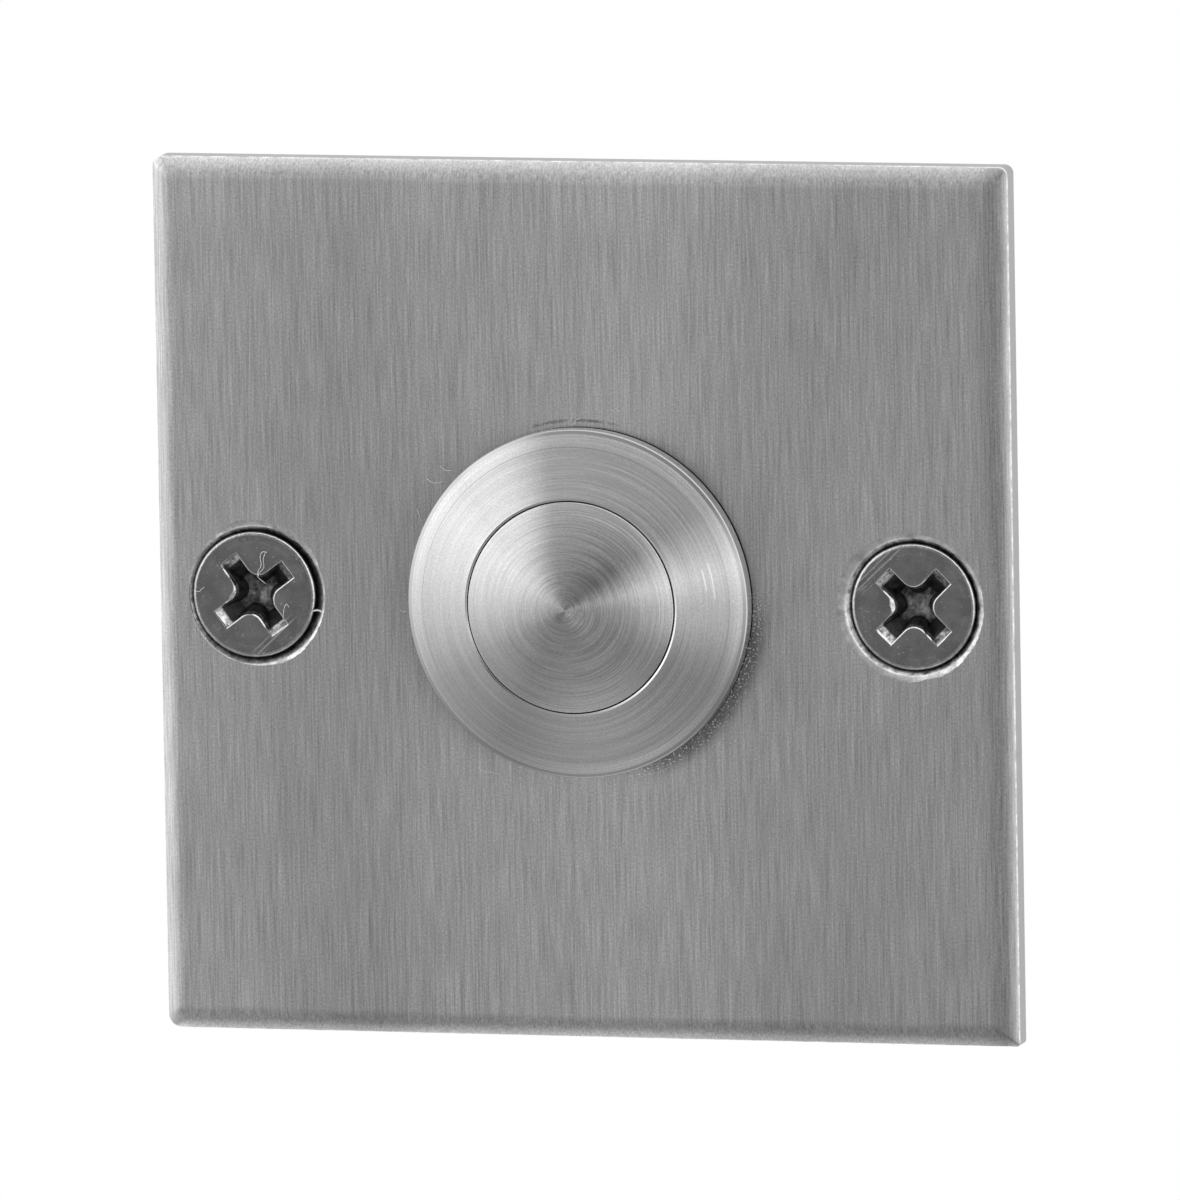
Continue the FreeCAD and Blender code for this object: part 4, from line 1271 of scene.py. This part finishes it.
def build_stage(settings):
    studio_world()
    bm = bmesh.new()
    drop = -settings.floor_drop
    rings = [circle(r, 0.0, 96) for r in (0.05, 0.16)]
    first, _ = skin(bm, [[Vector((p.x, p.z, drop)) for p in ring] for ring in rings])
    bm.faces.new(first)
    bmesh.ops.recalc_face_normals(bm, faces=bm.faces)
    mesh = bpy.data.meshes.new("floor_sweep")
    bm.to_mesh(mesh)
    bm.free()
    mesh.materials.append(floor_finish(settings))
    floor = bpy.data.objects.new("floor_sweep", mesh)
    bpy.context.scene.collection.objects.link(floor)
    floor.visible_glossy = False

    lamp = bpy.data.lights.new("key_lamp", "AREA")
    lamp.size = 0.35
    lamp.energy = settings.key_power
    key = bpy.data.objects.new("key_lamp", lamp)
    key.location = (-0.6, -0.6, 0.55)
    key.rotation_euler = (-key.location).to_track_quat("-Z", "Y").to_euler()
    bpy.context.scene.collection.objects.link(key)

    az, el, roll = settings.azimuth, settings.elevation, settings.roll
    back = Vector((math.sin(az) * math.cos(el), -math.cos(az) * math.cos(el), math.sin(el)))
    right = Vector((math.cos(az), math.sin(az), 0.0))
    up = back.cross(right)
    turned_right = math.cos(roll) * right + math.sin(roll) * up
    turned_up = -math.sin(roll) * right + math.cos(roll) * up
    aim = -0.124 * MM * turned_right - 0.199 * MM * turned_up
    lens = bpy.data.cameras.new("photo_camera")
    lens.sensor_width = 36.0
    lens.lens = 707.84
    lens.clip_start = 0.01
    camera = bpy.data.objects.new("photo_camera", lens)
    matrix = Matrix((turned_right, turned_up, back)).transposed().to_4x4()
    matrix.translation = aim + settings.camera_distance * back
    camera.matrix_world = matrix
    bpy.context.scene.collection.objects.link(camera)
    scene = bpy.context.scene
    scene.camera = camera
    scene.view_settings.view_transform = "Standard"


# Parts behind the plate, which keep their CAD meshes


def hidden_finishes():
    """One material for each remaining CAD node, after what the real piece is made of."""
    rubber = moulded_plastic("nitrile_rubber_moulded", "#1B1B1C", 0.7, 0.05, 0.004)
    zinc = plain_metal("steel_zinc_plated", "#C9CBCD", 0.32, 0.05, 0.06, 0.0015)
    brass = plain_metal("brass_sheet_stamped", "#C9A24E", 0.3, 0.05, 0.05, 0.001, (1.0, 1.0, 0.15))
    return {
        "flange_gasket": rubber,
        "cap_seal": rubber,
        "guide_plate": moulded_plastic("acetal_moulded", "#DAD8D0", 0.42, 0.08, 0.002),
        "plunger": moulded_plastic("acetal_moulded_red", "#9C2A22", 0.42, 0.08, 0.002),
        "contact_bridge": plain_metal(
            "phosphor_bronze_stamped", "#B8764A", 0.3, 0.05, 0.05, 0.001, (1.0, 1.0, 0.15)
        ),
        "switch_base": moulded_plastic("polyester_glass_filled_black", "#242425", 0.5, 0.12, 0.006),
        "retaining_ring": plain_metal("spring_steel_phosphated", "#55544F", 0.45, 0.04, 0.1, 0.002),
        "lock_washer": zinc,
        "mounting_nut": plain_metal("brass_nickel_plated", "#CFC9BC", 0.26, 0.1, 0.04, 0.001),
        "terminal_left": brass,
        "terminal_right": brass,
        "wire_clamp_left": zinc,
        "wire_clamp_right": zinc,
        "terminal_screw_left": zinc,
        "terminal_screw_right": zinc,
    }


# Operators, one for each piece or group of like pieces


class PUSHBUTTON_OT_face_plate(bpy.types.Operator):
    """Build the brushed face plate with its worn edges and countersunk holes"""

    bl_idname = "pushbutton.face_plate"
    bl_label = "Face plate"

    def execute(self, context):
        build_face_plate(context.scene.push_button_plate)
        return {"FINISHED"}


class PUSHBUTTON_OT_button(bpy.types.Operator):
    """Build the turned housing with its thread, and the domed cap"""

    bl_idname = "pushbutton.button"
    bl_label = "Housing and cap"

    def execute(self, context):
        settings = context.scene.push_button_turned
        build_button_housing(settings, helix_tree())
        build_push_cap(settings)
        return {"FINISHED"}


class PUSHBUTTON_OT_mounting_screws(bpy.types.Operator):
    """Build the two countersunk fixing screws"""

    bl_idname = "pushbutton.mounting_screws"
    bl_label = "Fixing screws"

    def execute(self, context):
        settings = context.scene.push_button_screws
        tree = helix_tree()
        low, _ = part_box("mounting_screw_left")
        shared = [recess_finish(low.y, settings.recess_depth), edge_finish()]
        left, right = -19.40 * MM, 19.25 * MM
        head = screw_head_finish("left", settings, left, (1.2, -2.4, 1.7, 0.32))
        finishes = [head, *shared, fibre_finish()]
        worn = Vector((-1.15, 0.0, -0.1)) * MM
        build_mounting_screw("left", left, -36.5, worn, settings, tree, finishes, LEFT_FIBRES)
        head = screw_head_finish("right", settings, right, (-2.0, 2.1, 1.9, 0.42))
        worn = Vector((-1.2, 0.0, 0.1)) * MM
        build_mounting_screw("right", right, 45.0, worn, settings, tree, [head, *shared])
        return {"FINISHED"}


class PUSHBUTTON_OT_return_spring(bpy.types.Operator):
    """Build the return spring of round wire"""

    bl_idname = "pushbutton.return_spring"
    bl_label = "Return spring"

    def execute(self, context):
        build_return_spring(helix_tree())
        return {"FINISHED"}


class PUSHBUTTON_OT_hidden_parts(bpy.types.Operator):
    """Give the seals, switch parts, nut and washer their materials"""

    bl_idname = "pushbutton.hidden_parts"
    bl_label = "Parts behind the plate"

    def execute(self, context):
        for name, material in hidden_finishes().items():
            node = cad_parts[name]
            for slot in node.material_slots:
                slot.material = material
        return {"FINISHED"}


class PUSHBUTTON_OT_stage(bpy.types.Operator):
    """Build the floor, the studio light and the camera"""

    bl_idname = "pushbutton.stage"
    bl_label = "Stage"

    def execute(self, context):
        build_stage(context.scene.push_button_stage)
        return {"FINISHED"}


class PUSHBUTTON_PT_panel(bpy.types.Panel):
    """Lists the steps that build the push button"""

    bl_idname = "PUSHBUTTON_PT_panel"
    bl_label = "Push button"
    bl_space_type = "VIEW_3D"
    bl_region_type = "UI"
    bl_category = "Push button"

    def draw(self, context):
        for operator in OPERATORS:
            self.layout.operator(operator.bl_idname)


OPERATORS = (
    PUSHBUTTON_OT_face_plate,
    PUSHBUTTON_OT_button,
    PUSHBUTTON_OT_mounting_screws,
    PUSHBUTTON_OT_return_spring,
    PUSHBUTTON_OT_hidden_parts,
    PUSHBUTTON_OT_stage,
)
GROUPS = {
    "push_button_plate": PlateSettings,
    "push_button_turned": ButtonSettings,
    "push_button_screws": ScrewSettings,
    "push_button_stage": StageSettings,
}


def register():
    for name, group in GROUPS.items():
        bpy.utils.register_class(group)
        setattr(bpy.types.Scene, name, bpy.props.PointerProperty(type=group))
    for operator in OPERATORS:
        bpy.utils.register_class(operator)
    bpy.utils.register_class(PUSHBUTTON_PT_panel)


def unregister():
    bpy.utils.unregister_class(PUSHBUTTON_PT_panel)
    for operator in reversed(OPERATORS):
        bpy.utils.unregister_class(operator)
    for name, group in GROUPS.items():
        delattr(bpy.types.Scene, name)
        bpy.utils.unregister_class(group)


def main():
    register()
    bpy.ops.pushbutton.face_plate()
    bpy.ops.pushbutton.button()
    bpy.ops.pushbutton.mounting_screws()
    bpy.ops.pushbutton.return_spring()
    bpy.ops.pushbutton.hidden_parts()
    bpy.ops.pushbutton.stage()


if __name__ == "__main__":
    main()
